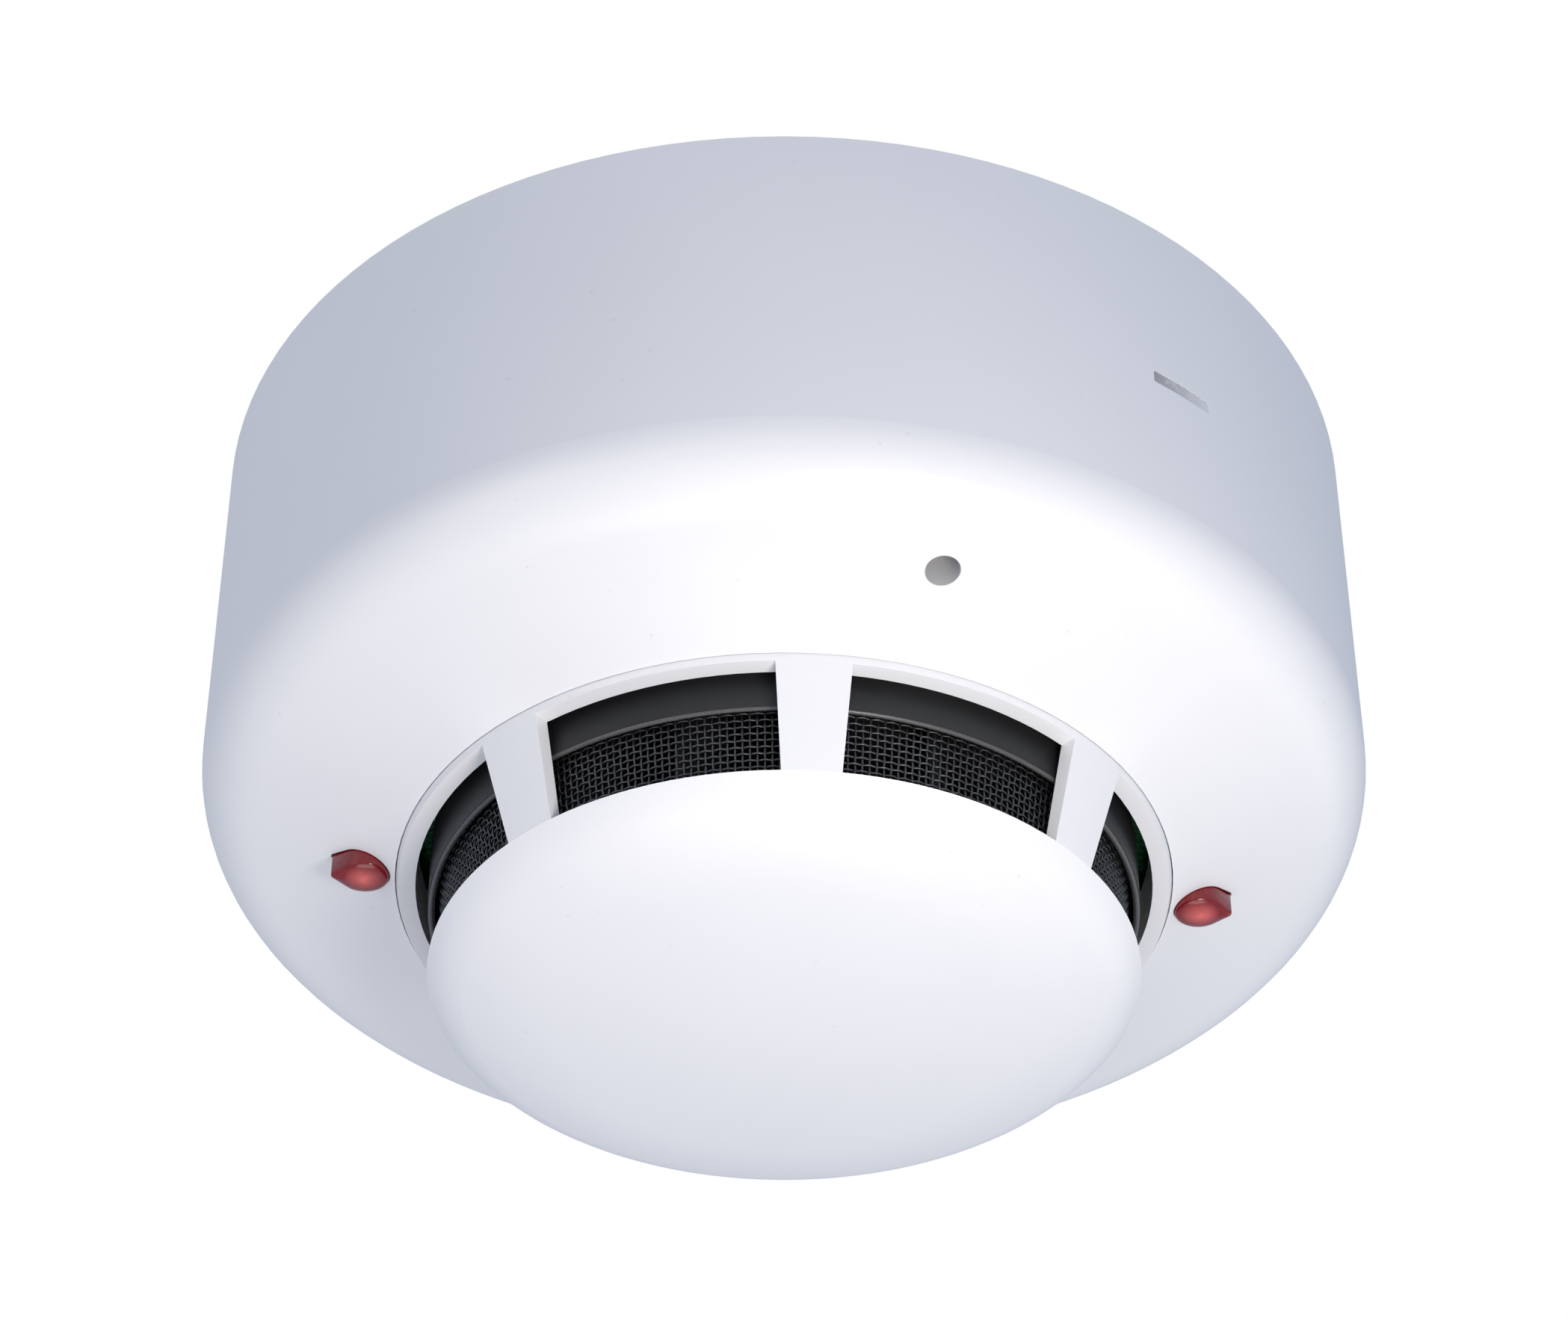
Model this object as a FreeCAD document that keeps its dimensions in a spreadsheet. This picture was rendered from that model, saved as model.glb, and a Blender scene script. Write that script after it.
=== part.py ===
import FreeCAD, Part
import math
import operator
import os

import Sketcher
from FreeCAD import Placement, Rotation, Vector

# A ceiling-mounted point detector: a fixed mounting base and a head that twists into it.
# Z points up and z = 0 is the ceiling, so everything hangs at negative z.
# X runs through the two indicator lenses, and -Y faces the front rib of the sensor cage.
# Depths in the table are measured down from the ceiling and are positive.

SIZES = [
    # making of solids
    ("weld_depth", 0.2, "how far a feature reaches into the one it is fused to"),
    ("cutter_reach", 1.0, "how far a cutting shape reaches past what it cuts"),
    # outer cover
    ("cover_radius", 50.0, "outer radius of the cover wall"),
    ("cover_wall", 2.2, "thickness of the cover"),
    ("rim_depth", 0.3, "gap between the ceiling and the rim of the cover"),
    ("wall_depth", 31.0, "depth where the straight wall ends"),
    ("edge_radius", 6.2, "rounding between wall and face"),
    ("edge_sweep", 80.0, "how far the rounded edge turns, in degrees"),
    ("mouth_radius", 33.0, "radius of the round mouth that holds the sensor cage"),
    ("mouth_depth", 40.82, "depth of the face at the mouth"),
    ("mouth_thickness", 2.2, "height of the mouth's edge"),
    ("face_sweep_radius", 51.5, "radius of the hollow sweep of the face"),
    ("mark_length", 7.2, "turn of the recessed alignment mark, in degrees"),
    ("mark_height", 1.2, "height of the alignment mark"),
    ("mark_recess", 0.3, "how deep the alignment mark is sunk"),
    ("mark_depth", 17.6, "depth of the alignment mark"),
    ("mark_angle", 306.3, "direction of the alignment mark"),
    # screws that hold the head together
    ("clamp_circle", 43.2, "radius on which the housing screws stand"),
    ("cover_boss_radius", 2.8, "radius of the screw bosses in the cover"),
    ("cover_boss_foot", 36.3, "depth of the foot of the cover bosses"),
    ("pilot_radius", 1.25, "pilot hole of a housing screw"),
    ("pilot_floor", 0.3, "thickness left under a pilot hole"),
    ("post_radius", 3.4, "radius of the posts on the rear housing"),
    ("post_bore", 2.8, "bore of a post, for the screw's head"),
    ("post_seat_depth", 27.5, "depth of the seat of the screw's head"),
    ("screw_radius", 1.2, "radius of a housing screw"),
    ("screw_hole", 1.7, "clearance hole of a housing screw"),
    ("screw_head_radius", 2.5, "head radius of a housing screw"),
    ("screw_head_height", 1.8, "head height of a housing screw"),
    ("screw_length", 8.2, "length of a housing screw under its head"),
    # locking screw
    ("lock_circle", 41.45, "radius on which the locking screw stands"),
    ("lock_angle", 283.25, "direction of the locking screw"),
    ("lock_hole", 1.4, "radius of the key hole through the face"),
    ("lock_tube_radius", 2.7, "outer radius of the key tube in the cover"),
    ("lock_tube_top", 17.2, "depth of the top of the key tube"),
    ("lock_tube_foot", 36.9, "depth of the foot of the key tube"),
    ("lock_boss_radius", 3.2, "radius of the boss round the threaded insert"),
    ("lock_boss_top", 10.8, "depth of the top of that boss"),
    ("lock_boss_foot", 16.5, "depth of the foot of that boss"),
    ("insert_margin", 0.2, "how far the insert stays inside the ends of its boss"),
    ("insert_radius", 2.2, "outer radius of the threaded insert"),
    ("insert_bore", 1.5, "bore of the threaded insert"),
    ("lock_screw_radius", 1.44, "radius of the locking screw"),
    ("lock_screw_tip", 10.6, "depth of the locking screw's tip, backed out"),
    ("lock_screw_length", 5.4, "length of the locking screw"),
    ("lock_point_radius", 1.0, "radius of the locking screw's dog point"),
    ("lock_point_length", 0.8, "length of the dog point"),
    ("lock_key_width", 1.5, "width across the flats of the hex socket"),
    ("lock_key_depth", 1.6, "depth of the hex socket"),
    # sensor cage
    ("cage_gap", 0.1, "joint line between cage and cover"),
    ("cage_flange_radius", 35.5, "outer radius of the hidden flange"),
    ("cage_flange_top", 36.8, "depth of the top of the flange"),
    ("cage_flange_edge", 0.9, "thickness of the flange at its edge"),
    ("cage_flange_slope", 0.8, "fall of the flange's lower side towards the collar"),
    ("collar_inside", 31.24, "inner radius of the cage's collar"),
    ("window_top_radius", 32.7, "cage radius at the top of the windows"),
    ("window_top_depth", 41.39, "depth of the top of the windows"),
    ("window_foot_radius", 29.84, "cage radius at the foot of the windows"),
    ("window_foot_depth", 50.06, "depth of the foot of the windows"),
    ("rib_thickness", 1.2, "thickness of a rib at its foot"),
    ("rib_top_turn", 10.8, "turn that the top of a rib covers, in degrees"),
    ("rib_foot_turn", 9.3, "turn that the foot of a rib covers, in degrees"),
    ("rib_pitch", 47.2, "turn from the front rib to the rib beside it, in degrees"),
    ("window_cut_inside", 25.0, "inner radius of the shape that cuts a window"),
    ("notch_margin", 0.5, "room beside a lens in the cage's flange"),
    ("cap_knee_radius", 26.9, "radius where the cap's rounded edge ends"),
    ("cap_knee_depth", 52.3, "depth where the cap's rounded edge ends"),
    ("cap_knee_inset", 0.75, "how far inside the knee the inner surface turns"),
    ("cap_knee_lift", 1.25, "how far above the knee the inner surface turns"),
    ("cap_edge_bend", 7.0, "bend of the cap's rounded edge"),
    ("cap_flat_radius", 19.5, "radius where the cap's shallow dome starts"),
    ("cap_flat_depth", 54.1, "depth where the shallow dome starts"),
    ("cap_shoulder_bend", 27.7, "radius of the cap's soft shoulder"),
    ("cap_depth", 55.1, "depth of the lowest point"),
    ("cap_dome_bend", 190.6, "bend of the shallow dome"),
    ("cap_thickness", 1.45, "thickness of the cap"),
    # sensing chamber
    ("chamber_radius", 30.1, "outer radius of the chamber's base"),
    ("chamber_top", 38.0, "depth of the top of the chamber's base"),
    ("chamber_floor", 1.6, "thickness of the chamber's base"),
    ("chamber_rim_foot", 43.9, "depth of the lower edge of the chamber's rim"),
    ("chamber_rim_inside", 29.5, "inner radius of the chamber's rim"),
    ("spacer_inside", 24.0, "inner radius of the ring that stands on the board"),
    ("spacer_outside", 25.5, "outer radius of the ring that stands on the board"),
    ("screen_top_radius", 29.3, "outer radius of the top of the insect screen"),
    ("screen_foot_radius", 28.2, "outer radius of the foot of the insect screen"),
    ("screen_thickness", 0.4, "thickness of the insect screen"),
    ("screen_top", 42.6, "depth of the top of the insect screen"),
    ("screen_foot", 50.1, "depth of the foot of the insect screen"),
    ("lid_radius", 27.2, "radius of the chamber's lid"),
    ("lid_top", 49.6, "depth of the top of the lid"),
    ("lid_thickness", 0.8, "thickness of the lid"),
    ("vane_top", 40.2, "depth of the top of the light-trap vanes"),
    ("vane_count", 16, "number of light-trap vanes"),
    ("vane_outer", 26.6, "radius of the outer ends of the vanes"),
    ("vane_knee", 23.6, "radius of the knees of the vanes"),
    ("vane_inner", 20.6, "radius of the inner ends of the vanes"),
    ("vane_offset", 2.2, "sideways set of a vane's knee"),
    ("vane_thickness", 0.8, "thickness of a vane"),
    # optics in the chamber
    ("beam_depth", 46.0, "depth of the light beam"),
    ("emitter_angle", 20.0, "direction of the infrared emitter"),
    ("receiver_angle", 140.0, "direction of the photodiode"),
    ("holder_front", 9.0, "radius of the front of an optics holder"),
    ("holder_back", 15.6, "radius of the back of an optics holder"),
    ("holder_half_width", 3.0, "half the width of an optics holder"),
    ("holder_foot", 49.0, "depth of the foot of an optics holder"),
    ("optic_radius", 1.5, "radius of the emitter and of the photodiode"),
    ("optic_length", 5.2, "length of the emitter in front of its flange"),
    ("optic_flange", 1.9, "flange radius of the emitter"),
    ("optic_flange_thickness", 0.8, "flange thickness of the emitter"),
    ("emitter_dome", 1.48, "radius of the emitter's round front"),
    ("optic_gap", 0.1, "gap round the optics in their holders"),
    ("lead_slot_near", 0.3, "distance from the holder to the near end of the leads' slot"),
    ("lead_slot_far", 1.9, "distance from the holder to the far end of the leads' slot"),
    ("lead_width", 0.5, "width of a soldered lead"),
    ("lead_pitch", 2.54, "distance between two leads"),
    # thermistors
    ("thermistor_circle", 30.0, "radius on which the outer thermistor's bead hangs"),
    ("thermistor_lead_circle", 30.6, "radius on which its leads stand"),
    ("thermistor_angle", 55.0, "direction of the outer thermistor"),
    ("thermistor_depth", 46.6, "depth of the outer thermistor's bead"),
    ("thermistor_radius", 0.8, "radius of a thermistor's bead"),
    ("thermistor_lead", 0.3, "width of a thermistor's lead"),
    ("thermistor_lead_pitch", 0.8, "distance between its two leads"),
    # printed circuit board
    ("board_radius", 46.4, "radius of the printed circuit board"),
    ("board_top", 31.5, "depth of the top of the board"),
    ("board_thickness", 1.6, "thickness of the board"),
    ("board_notch", 3.3, "radius of the board's notch round the key tube"),
    # components on the board
    ("can_neck", 1.4, "height of the groove round a can capacitor"),
    ("can_bead", 0.7, "height of that groove, and size of the can's top edge"),
    ("can_groove", 0.25, "depth of that groove"),
    ("resistor_first_x", 7.0, "x of the first chip resistor"),
    ("resistor_first_y", 7.0, "y of the first chip resistor"),
    ("resistor_pitch_x", 3.2, "distance between chip resistors in a row"),
    ("resistor_pitch_y", 4.0, "distance between the rows of chip resistors"),
    ("resistor_length", 2.0, "length of a chip resistor"),
    ("resistor_width", 1.25, "width of a chip resistor"),
    ("resistor_height", 0.6, "height of a chip resistor"),
    ("varistor_x", 12.0, "x of the varistor's middle"),
    ("varistor_y", 20.0, "y of the varistor's rear face"),
    ("varistor_radius", 4.5, "radius of the varistor's disc"),
    ("varistor_thickness", 3.6, "thickness of the varistor's disc"),
    ("varistor_lift", 1.0, "gap between the varistor's disc and the board"),
    ("varistor_leg", 0.6, "width of a varistor's leg"),
    ("varistor_leg_pitch", 5.0, "distance between a varistor's legs"),
    ("varistor_leg_height", 3.2, "height of a varistor's leg"),
    ("reed_x", -27.0, "x of the reed switch"),
    ("reed_lift", 2.2, "height of the reed switch's middle above the board"),
    ("reed_radius", 1.1, "radius of the reed switch's glass"),
    ("reed_half_length", 6.5, "half the length of the glass"),
    ("reed_lead_radius", 0.3, "radius of the reed switch's leads"),
    ("reed_lead_reach", 9.0, "distance from the middle to the end of a lead"),
    # indicators
    ("lens_circle", 35.6, "radius on which the lens's round end stands"),
    ("lens_radius", 2.1, "radius of the lens's round end"),
    ("lens_tail", 2.4, "distance from the round end to the tail"),
    ("lens_tail_radius", 0.4, "radius of the tail"),
    ("lens_foot", 41.2, "depth of the lens's visible end"),
    ("lens_top", 35.9, "depth of the lens's hidden end"),
    ("lens_flange", 2.8, "radius of the lens's hidden flange"),
    ("lens_flange_thickness", 0.8, "thickness of the lens's flange"),
    ("lens_flange_offset", 0.5, "distance from the round end to the flange's middle"),
    ("lens_gap", 0.1, "gap round the lens in the cover"),
    ("led_circle", 36.0, "radius on which the indicator diodes stand"),
    ("led_radius", 1.5, "radius of an indicator diode"),
    ("led_height", 2.6, "height of an indicator diode"),
    ("led_foot_height", 0.6, "height of an indicator diode's foot"),
    ("led_foot_margin", 0.3, "how far that foot stands out"),
    # rear housing of the head
    ("rear_radius", 47.5, "radius of the rear housing"),
    ("rear_top", 12.0, "depth of the top of the rear housing's plate"),
    ("rear_thickness", 2.0, "thickness of that plate"),
    ("ring_inside", 38.2, "inner radius of the bayonet ring"),
    ("ring_outside", 40.2, "outer radius of the bayonet ring"),
    ("ring_top", 3.2, "depth of the top of the bayonet ring"),
    ("lug_radius", 44.1, "outer radius of the bayonet lugs"),
    ("lug_top", 3.8, "depth of the top of a lug"),
    ("lug_foot", 6.2, "depth of the bottom of a lug"),
    ("lug_turn", 15.0, "turn that a lug covers, in degrees"),
    ("twist", 18.0, "turn between locked and released, in degrees"),
    # mounting base
    ("base_radius", 46.8, "outer radius of the mounting base"),
    ("base_floor", 2.4, "thickness of the base's floor"),
    ("skirt_inside", 44.6, "inner radius of the base's skirt"),
    ("skirt_foot", 9.0, "depth of the lower edge of the skirt"),
    ("ledge_inside", 41.9, "inner radius of the bayonet ledges"),
    ("ledge_top", 6.3, "depth of the top of the ledges"),
    ("ledge_foot", 8.6, "depth of the bottom of the ledges"),
    ("ledge_turn", 16.0, "turn that a ledge covers, in degrees"),
    ("stop_turn", 2.4, "turn that a stop covers, in degrees"),
    ("stop_gap", 0.6, "turn between a lug at its limit and the stop, in degrees"),
    ("land_inside", 40.5, "inner radius of the land that the locking screw presses on"),
    ("land_margin", 4.0, "turn of the land beyond the locking screw's path, in degrees"),
    ("cable_radius", 12.0, "radius of the cable entry"),
    ("cable_rim", 1.6, "thickness of the rim round the cable entry"),
    ("cable_rim_foot", 6.0, "depth of the lower edge of that rim"),
    ("slot_half_width", 2.2, "half the width of a fixing slot"),
    ("slot_length", 10.0, "end-to-end length of a fixing slot"),
    ("slot_spacing_x", 60.0, "distance between the slots on the X axis"),
    ("slot_spacing_y", 50.0, "distance between the slots on the Y axis"),
    ("slot_land", 2.6, "width of the raised land round a slot"),
    ("slot_land_height", 1.0, "height of that land"),
    ("recess_depth", 0.8, "depth of the hollows in the ceiling side"),
    ("recess_inside", 17.0, "inner radius of those hollows"),
    ("recess_outside", 41.0, "outer radius of those hollows"),
    ("recess_turn", 56.0, "turn that a hollow covers, in degrees"),
    # terminals
    ("terminal_circle", 23.5, "radius on which the terminal screws stand"),
    ("terminal_screw_radius", 1.7, "radius of a terminal screw"),
    ("terminal_head_radius", 3.0, "head radius of a terminal screw"),
    ("terminal_head_height", 2.0, "head height of a terminal screw"),
    ("terminal_screw_end", 3.1, "depth of the terminal screw's end"),
    ("terminal_hole_gap", 0.1, "gap round a terminal screw"),
    ("terminal_hole_relief", 0.2, "room above the end of a terminal screw"),
    ("driver_slot_reach", 0.7, "half length of a driver slot as a share of the head's radius"),
    ("driver_slot_width", 0.9, "width of a screwdriver slot"),
    ("driver_slot_depth", 0.9, "depth of a screwdriver slot"),
    ("boss_top_radius", 17.5, "radius of the inner end of a terminal boss"),
    ("boss_end_radius", 29.5, "radius of the outer end of a terminal boss"),
    ("boss_half_width", 5.5, "half the width of a terminal boss"),
    ("boss_foot", 4.2, "depth of the bottom of a terminal boss"),
    ("strip_thickness", 0.8, "thickness of a contact strip"),
    ("strip_half_width", 4.0, "half the width of a contact strip"),
    ("strip_inner", 18.5, "radius of the inner end of a contact strip"),
    ("clamp_half_width", 4.2, "half the width of a clamp plate"),
    ("clamp_thickness", 1.0, "thickness of a clamp plate"),
    ("wire_groove", 0.35, "depth of the wire grooves in a clamp plate"),
    ("wire_groove_half_width", 0.6, "half the width of a wire groove"),
    ("wire_groove_offset", 3.0, "distance from a clamp plate's middle to a wire groove"),
    ("blade_inside", 31.6, "inner radius of a contact blade"),
    ("blade_thickness", 0.8, "thickness of a contact blade"),
    ("blade_turn", 12.0, "turn that a blade covers, in degrees"),
    ("blade_top", 5.6, "depth of the top of a blade"),
    ("blade_foot", 14.6, "depth of the bottom of a blade"),
    ("blade_tail_half_width", 0.6, "half the width of a blade's soldered tail"),
    ("blade_tail_foot", 34.3, "depth of the end of the tail"),
    ("blade_gap", 0.1, "gap between a blade and the leaves or slot beside it"),
    ("blade_slot_turn", 0.2, "turn of a blade's slot beyond the blade's end, in degrees"),
    ("leaf_thickness", 0.5, "thickness of a contact leaf"),
    ("leaf_turn", 11.0, "turn that a contact leaf covers, in degrees"),
    ("leaf_foot", 10.4, "depth of the lower edge of a contact leaf"),
]

BAYONET_ANGLES = (90, 210, 330)
CLAMP_ANGLES = (30, 150, 270)
TERMINAL_ANGLES = (45, 135, 225, 315)
INDICATORS = (("right", 0), ("left", 180))
HEX_SIDES = 6
RESISTOR_COUNT = 8
RESISTORS_IN_ROW = 4

# Block-shaped components: x, y, length, width, height, and whether they stand on the board.
BLOCKS = {
    "relay": (0, -21, 19, 10, 12, True),
    "bridge_rectifier": (20, 6, 8, 6, 3, True),
    "microcontroller": (-13, -7, 7, 7, 1.2, False),
    "shield_can": (4, -6, 14, 10, 2.8, False),
    "reference_thermistor": (2, 34, 1.6, 0.8, 0.8, True),
}
# Can-shaped capacitors on the board: x, y, radius, height.
CANS = {
    "capacitor_1": (-14, 8, 5.0, 13),
    "capacitor_2": (-4, 16, 3.15, 9),
}


class Size:
    """A number together with the spreadsheet formula that gives it."""

    def __init__(self, value, formula):
        self.value = value
        self.formula = formula

    def __add__(self, other):
        return joined(self, "+", other)

    def __radd__(self, other):
        return joined(other, "+", self)

    def __sub__(self, other):
        return joined(self, "-", other)

    def __rsub__(self, other):
        return joined(other, "-", self)

    def __mul__(self, other):
        return joined(self, "*", other)

    def __rmul__(self, other):
        return joined(other, "*", self)

    def __truediv__(self, other):
        return joined(self, "/", other)

    def __neg__(self):
        return Size(-self.value, f"-({self.formula})")


SIGNS = {"+": operator.add, "-": operator.sub, "*": operator.mul, "/": operator.truediv}


def as_size(number):
    return number if isinstance(number, Size) else Size(float(number), str(number))


def joined(left, sign, right):
    left, right = as_size(left), as_size(right)
    value = SIGNS[sign](left.value, right.value)
    return Size(value, f"({left.formula} {sign} {right.formula})")


def root_of(size):
    return Size(math.sqrt(size.value), f"sqrt({size.formula})")


def cos_of(angle):
    return Size(math.cos(math.radians(angle.value)), f"cos({angle.formula} * 1 deg)")


def sin_of(angle):
    return Size(math.sin(math.radians(angle.value)), f"sin({angle.formula} * 1 deg)")


def component_sizes():
    """The places and sizes of the listed components, as rows for the sheet."""
    rows = []
    tables = ((BLOCKS, ("x", "y", "length", "width", "height")), (CANS, ("x", "y", "radius", "height")))
    for table, fields in tables:
        for label, values in table.items():
            for field, value in zip(fields, values):
                rows.append((f"{label}_{field}", value, f"{field} of the {label.replace('_', ' ')}"))
    return rows


def fill_sheet(doc):
    """Put every driving dimension in a cell with an alias, and return them by name."""
    sheet = doc.addObject("Spreadsheet::Sheet", "Sizes")
    sizes = {}
    for row, (alias, value, meaning) in enumerate(SIZES + component_sizes(), start=1):
        sheet.set(f"A{row}", meaning)
        sheet.set(f"B{row}", str(value))
        sheet.setAlias(f"B{row}", alias)
        sizes[alias] = Size(float(value), f"Sizes.{alias}")
    doc.recompute()
    return type("Sizes", (), sizes)


doc = FreeCAD.newDocument("detector")
S = fill_sheet(doc)
parts = []


def bind(thing, path, size):
    """Drive one property of a document object from the spreadsheet."""
    size = as_size(size)
    thing.setExpression(path, size.formula)


def new_body(label, angle=0.0):
    """Start a body; angle turns the finished piece about the vertical axis."""
    body = doc.addObject("PartDesign::Body", label)
    body.Label = label
    turn = as_size(angle)
    body.Placement = Placement(Vector(0, 0, 0), Rotation(Vector(0, 0, 1), turn.value))
    bind(body, "Placement.Rotation.Angle", turn)
    return body


def keep(thing):
    """List a finished object as one of the pieces to write out."""
    parts.append(thing)
    return thing


def new_sketch(body, role, offset_path="", offset=0, turn=0):
    """A sketch on one of the body's own origin planes, moved or turned by a bound amount."""
    sketch = body.newObject("Sketcher::SketchObject", "Sketch")
    plane = next(f for f in body.Origin.OriginFeatures if f.Role == role)
    sketch.AttachmentSupport = [(plane, "")]
    sketch.MapMode = "FlatFace"
    offset, turn = as_size(offset), as_size(turn)
    axis = Vector(0, 1, 0)
    base = Vector(0, 0, offset.value)
    sketch.AttachmentOffset = Placement(base, Rotation(axis, turn.value))
    if offset_path:
        bind(sketch, f"AttachmentOffset.Base.{offset_path}", offset)
    if turn.value:
        bind(sketch, "AttachmentOffset.Rotation.Angle", turn)
    return sketch


def flat_sketch(body, height):
    """A horizontal sketch at the given z."""
    return new_sketch(body, "XY_Plane", "z", height)


def section_sketch(body, turn=0):
    """An upright sketch through the Z axis: x is the radius and y is z."""
    return new_sketch(body, "XZ_Plane", turn=turn)


def hold_point(sketch, geometry, end, x, y):
    """Fix one end of a line or arc where the spreadsheet says."""
    for kind, size in (("DistanceX", as_size(x)), ("DistanceY", as_size(y))):
        rule = Sketcher.Constraint(kind, -1, 1, geometry, end, size.value)
        index = sketch.addConstraint(rule)
        sketch.setExpression(f"Constraints[{index}]", size.formula)


def arc_between(start, end, radius, turn):
    """The short arc from start to end; turn is 1 for anticlockwise and -1 for clockwise."""
    middle = (start + end) * 0.5
    chord = end - start
    reach = math.sqrt(radius**2 - (chord.Length / 2) ** 2)
    sideways = Vector(-chord.y, chord.x, 0).normalize() * turn
    centre = middle + sideways * reach
    first, last = (start, end) if turn > 0 else (end, start)
    begin = math.atan2(first.y - centre.y, first.x - centre.x)
    finish = math.atan2(last.y - centre.y, last.x - centre.x)
    if finish < begin:
        finish += 2 * math.pi
    circle = Part.Circle(centre, Vector(0, 0, 1), radius)
    return Part.ArcOfCircle(circle, begin, finish)


def draw_outline(sketch, corners):
    """Draw a closed outline.

    Each corner is (x, y), or (x, y, radius, turn) where an arc leaves it for the next one.
    """
    first = sketch.GeometryCount
    ends = []
    count = len(corners)
    places = [Vector(as_size(c[0]).value, as_size(c[1]).value, 0) for c in corners]
    for index, corner in enumerate(corners):
        start, end = places[index], places[(index + 1) % count]
        if len(corner) == 2:
            sketch.addGeometry(Part.LineSegment(start, end), False)
            ends.append((1, 2))
            continue
        radius, turn = as_size(corner[2]), corner[3]
        sketch.addGeometry(arc_between(start, end, radius.value, turn), False)
        ends.append((1, 2) if turn > 0 else (2, 1))
        rule = Sketcher.Constraint("Radius", first + index, radius.value)
        sketch.setExpression(f"Constraints[{sketch.addConstraint(rule)}]", radius.formula)
    for index, corner in enumerate(corners):
        following = (index + 1) % count
        sketch.addConstraint(Sketcher.Constraint(
            "Coincident", first + index, ends[index][1], first + following, ends[following][0]
        ))
        hold_point(sketch, first + index, ends[index][0], corner[0], corner[1])


def draw_circle(sketch, x, y, radius):
    x, y, radius = as_size(x), as_size(y), as_size(radius)
    centre = Vector(x.value, y.value, 0)
    index = sketch.addGeometry(Part.Circle(centre, Vector(0, 0, 1), radius.value), False)
    rule = Sketcher.Constraint("Radius", index, radius.value)
    sketch.setExpression(f"Constraints[{sketch.addConstraint(rule)}]", radius.formula)
    hold_point(sketch, index, 3, x, y)


def draw_box(sketch, low_x, high_x, low_y, high_y):
    draw_outline(sketch, [(low_x, low_y), (high_x, low_y), (high_x, high_y), (low_x, high_y)])


def draw_turned_box(sketch, near, far, half_width, direction):
    """A rectangle that points away from the axis in the given direction."""
    cosine, sine = cos_of(as_size(direction)), sin_of(as_size(direction))
    corners = []
    for along, across in ((near, -half_width), (far, -half_width), (far, half_width), (near, half_width)):
        corners.append((along * cosine - across * sine, along * sine + across * cosine))
    draw_outline(sketch, corners)


def draw_sector(sketch, inside, outside, start, end):
    """A piece of a ring between two radii and two directions in degrees."""
    start, end = as_size(start), as_size(end)
    draw_outline(sketch, [
        (inside * cos_of(start), inside * sin_of(start)),
        (outside * cos_of(start), outside * sin_of(start), outside, 1),
        (outside * cos_of(end), outside * sin_of(end)),
        (inside * cos_of(end), inside * sin_of(end), inside, -1),
    ])


def draw_slot(sketch, x, y, half_width, length, along_x):
    """A slot with round ends, centred at x and y."""
    run = length / 2 - half_width
    if along_x:
        corners = [
            (x - run, y - half_width),
            (x + run, y - half_width, half_width, 1),
            (x + run + half_width, y, half_width, 1),
            (x + run, y + half_width),
            (x - run, y + half_width, half_width, 1),
            (x - run - half_width, y, half_width, 1),
        ]
    else:
        corners = [
            (x + half_width, y - run),
            (x + half_width, y + run, half_width, 1),
            (x, y + run + half_width, half_width, 1),
            (x - half_width, y + run),
            (x - half_width, y - run, half_width, 1),
            (x, y - run - half_width, half_width, 1),
        ]
    draw_outline(sketch, corners)


def draw_teardrop(sketch, margin):
    """The lens's outline: a round end near the cage and a narrow tail away from it."""
    round_end, tail_end = S.lens_radius + margin, S.lens_tail_radius + margin
    slope = (S.lens_radius - S.lens_tail_radius) / S.lens_tail
    rise = root_of(1 - slope * slope)
    tail_x = S.lens_circle + S.lens_tail
    draw_outline(sketch, [
        (tail_x + tail_end * slope, tail_end * rise),
        (S.lens_circle + round_end * slope, round_end * rise, round_end, 1),
        (S.lens_circle - round_end, as_size(0), round_end, 1),
        (S.lens_circle + round_end * slope, -round_end * rise),
        (tail_x + tail_end * slope, -tail_end * rise, tail_end, 1),
        (tail_x + tail_end, as_size(0), tail_end, 1),
    ])


def pad(body, sketch, height):
    """Raise a horizontal sketch by height."""
    feature = body.newObject("PartDesign::Pad", "Pad")
    feature.Profile = sketch
    bind(feature, "Length", height)
    return feature


def add_prism(body, draw, top, foot, *arguments):
    """Add the solid that a drawing makes between two depths."""
    sketch = flat_sketch(body, -foot)
    draw(sketch, *arguments)
    return pad(body, sketch, foot - top)


def cut_prism(body, draw, top, foot, *arguments):
    """Cut what a drawing covers between two depths."""
    doc.recompute()
    before = body.Shape.Volume
    sketch = flat_sketch(body, -top)
    draw(sketch, *arguments)
    feature = body.newObject("PartDesign::Pocket", "Pocket")
    feature.Profile = sketch
    bind(feature, "Length", foot - top)
    doc.recompute()
    if body.Shape.Volume >= before - 1e-6:
        raise RuntimeError(f"a pocket in {body.Label} cuts nothing")
    return feature


def revolve(body, corners):
    """Turn an outline of (radius, z) corners a full turn about the Z axis."""
    sketch = section_sketch(body)
    draw_outline(sketch, corners)
    feature = body.newObject("PartDesign::Revolution", "Revolution")
    feature.Profile = sketch
    feature.ReferenceAxis = (sketch, ["V_Axis"])
    feature.Angle = 360
    return feature


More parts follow.
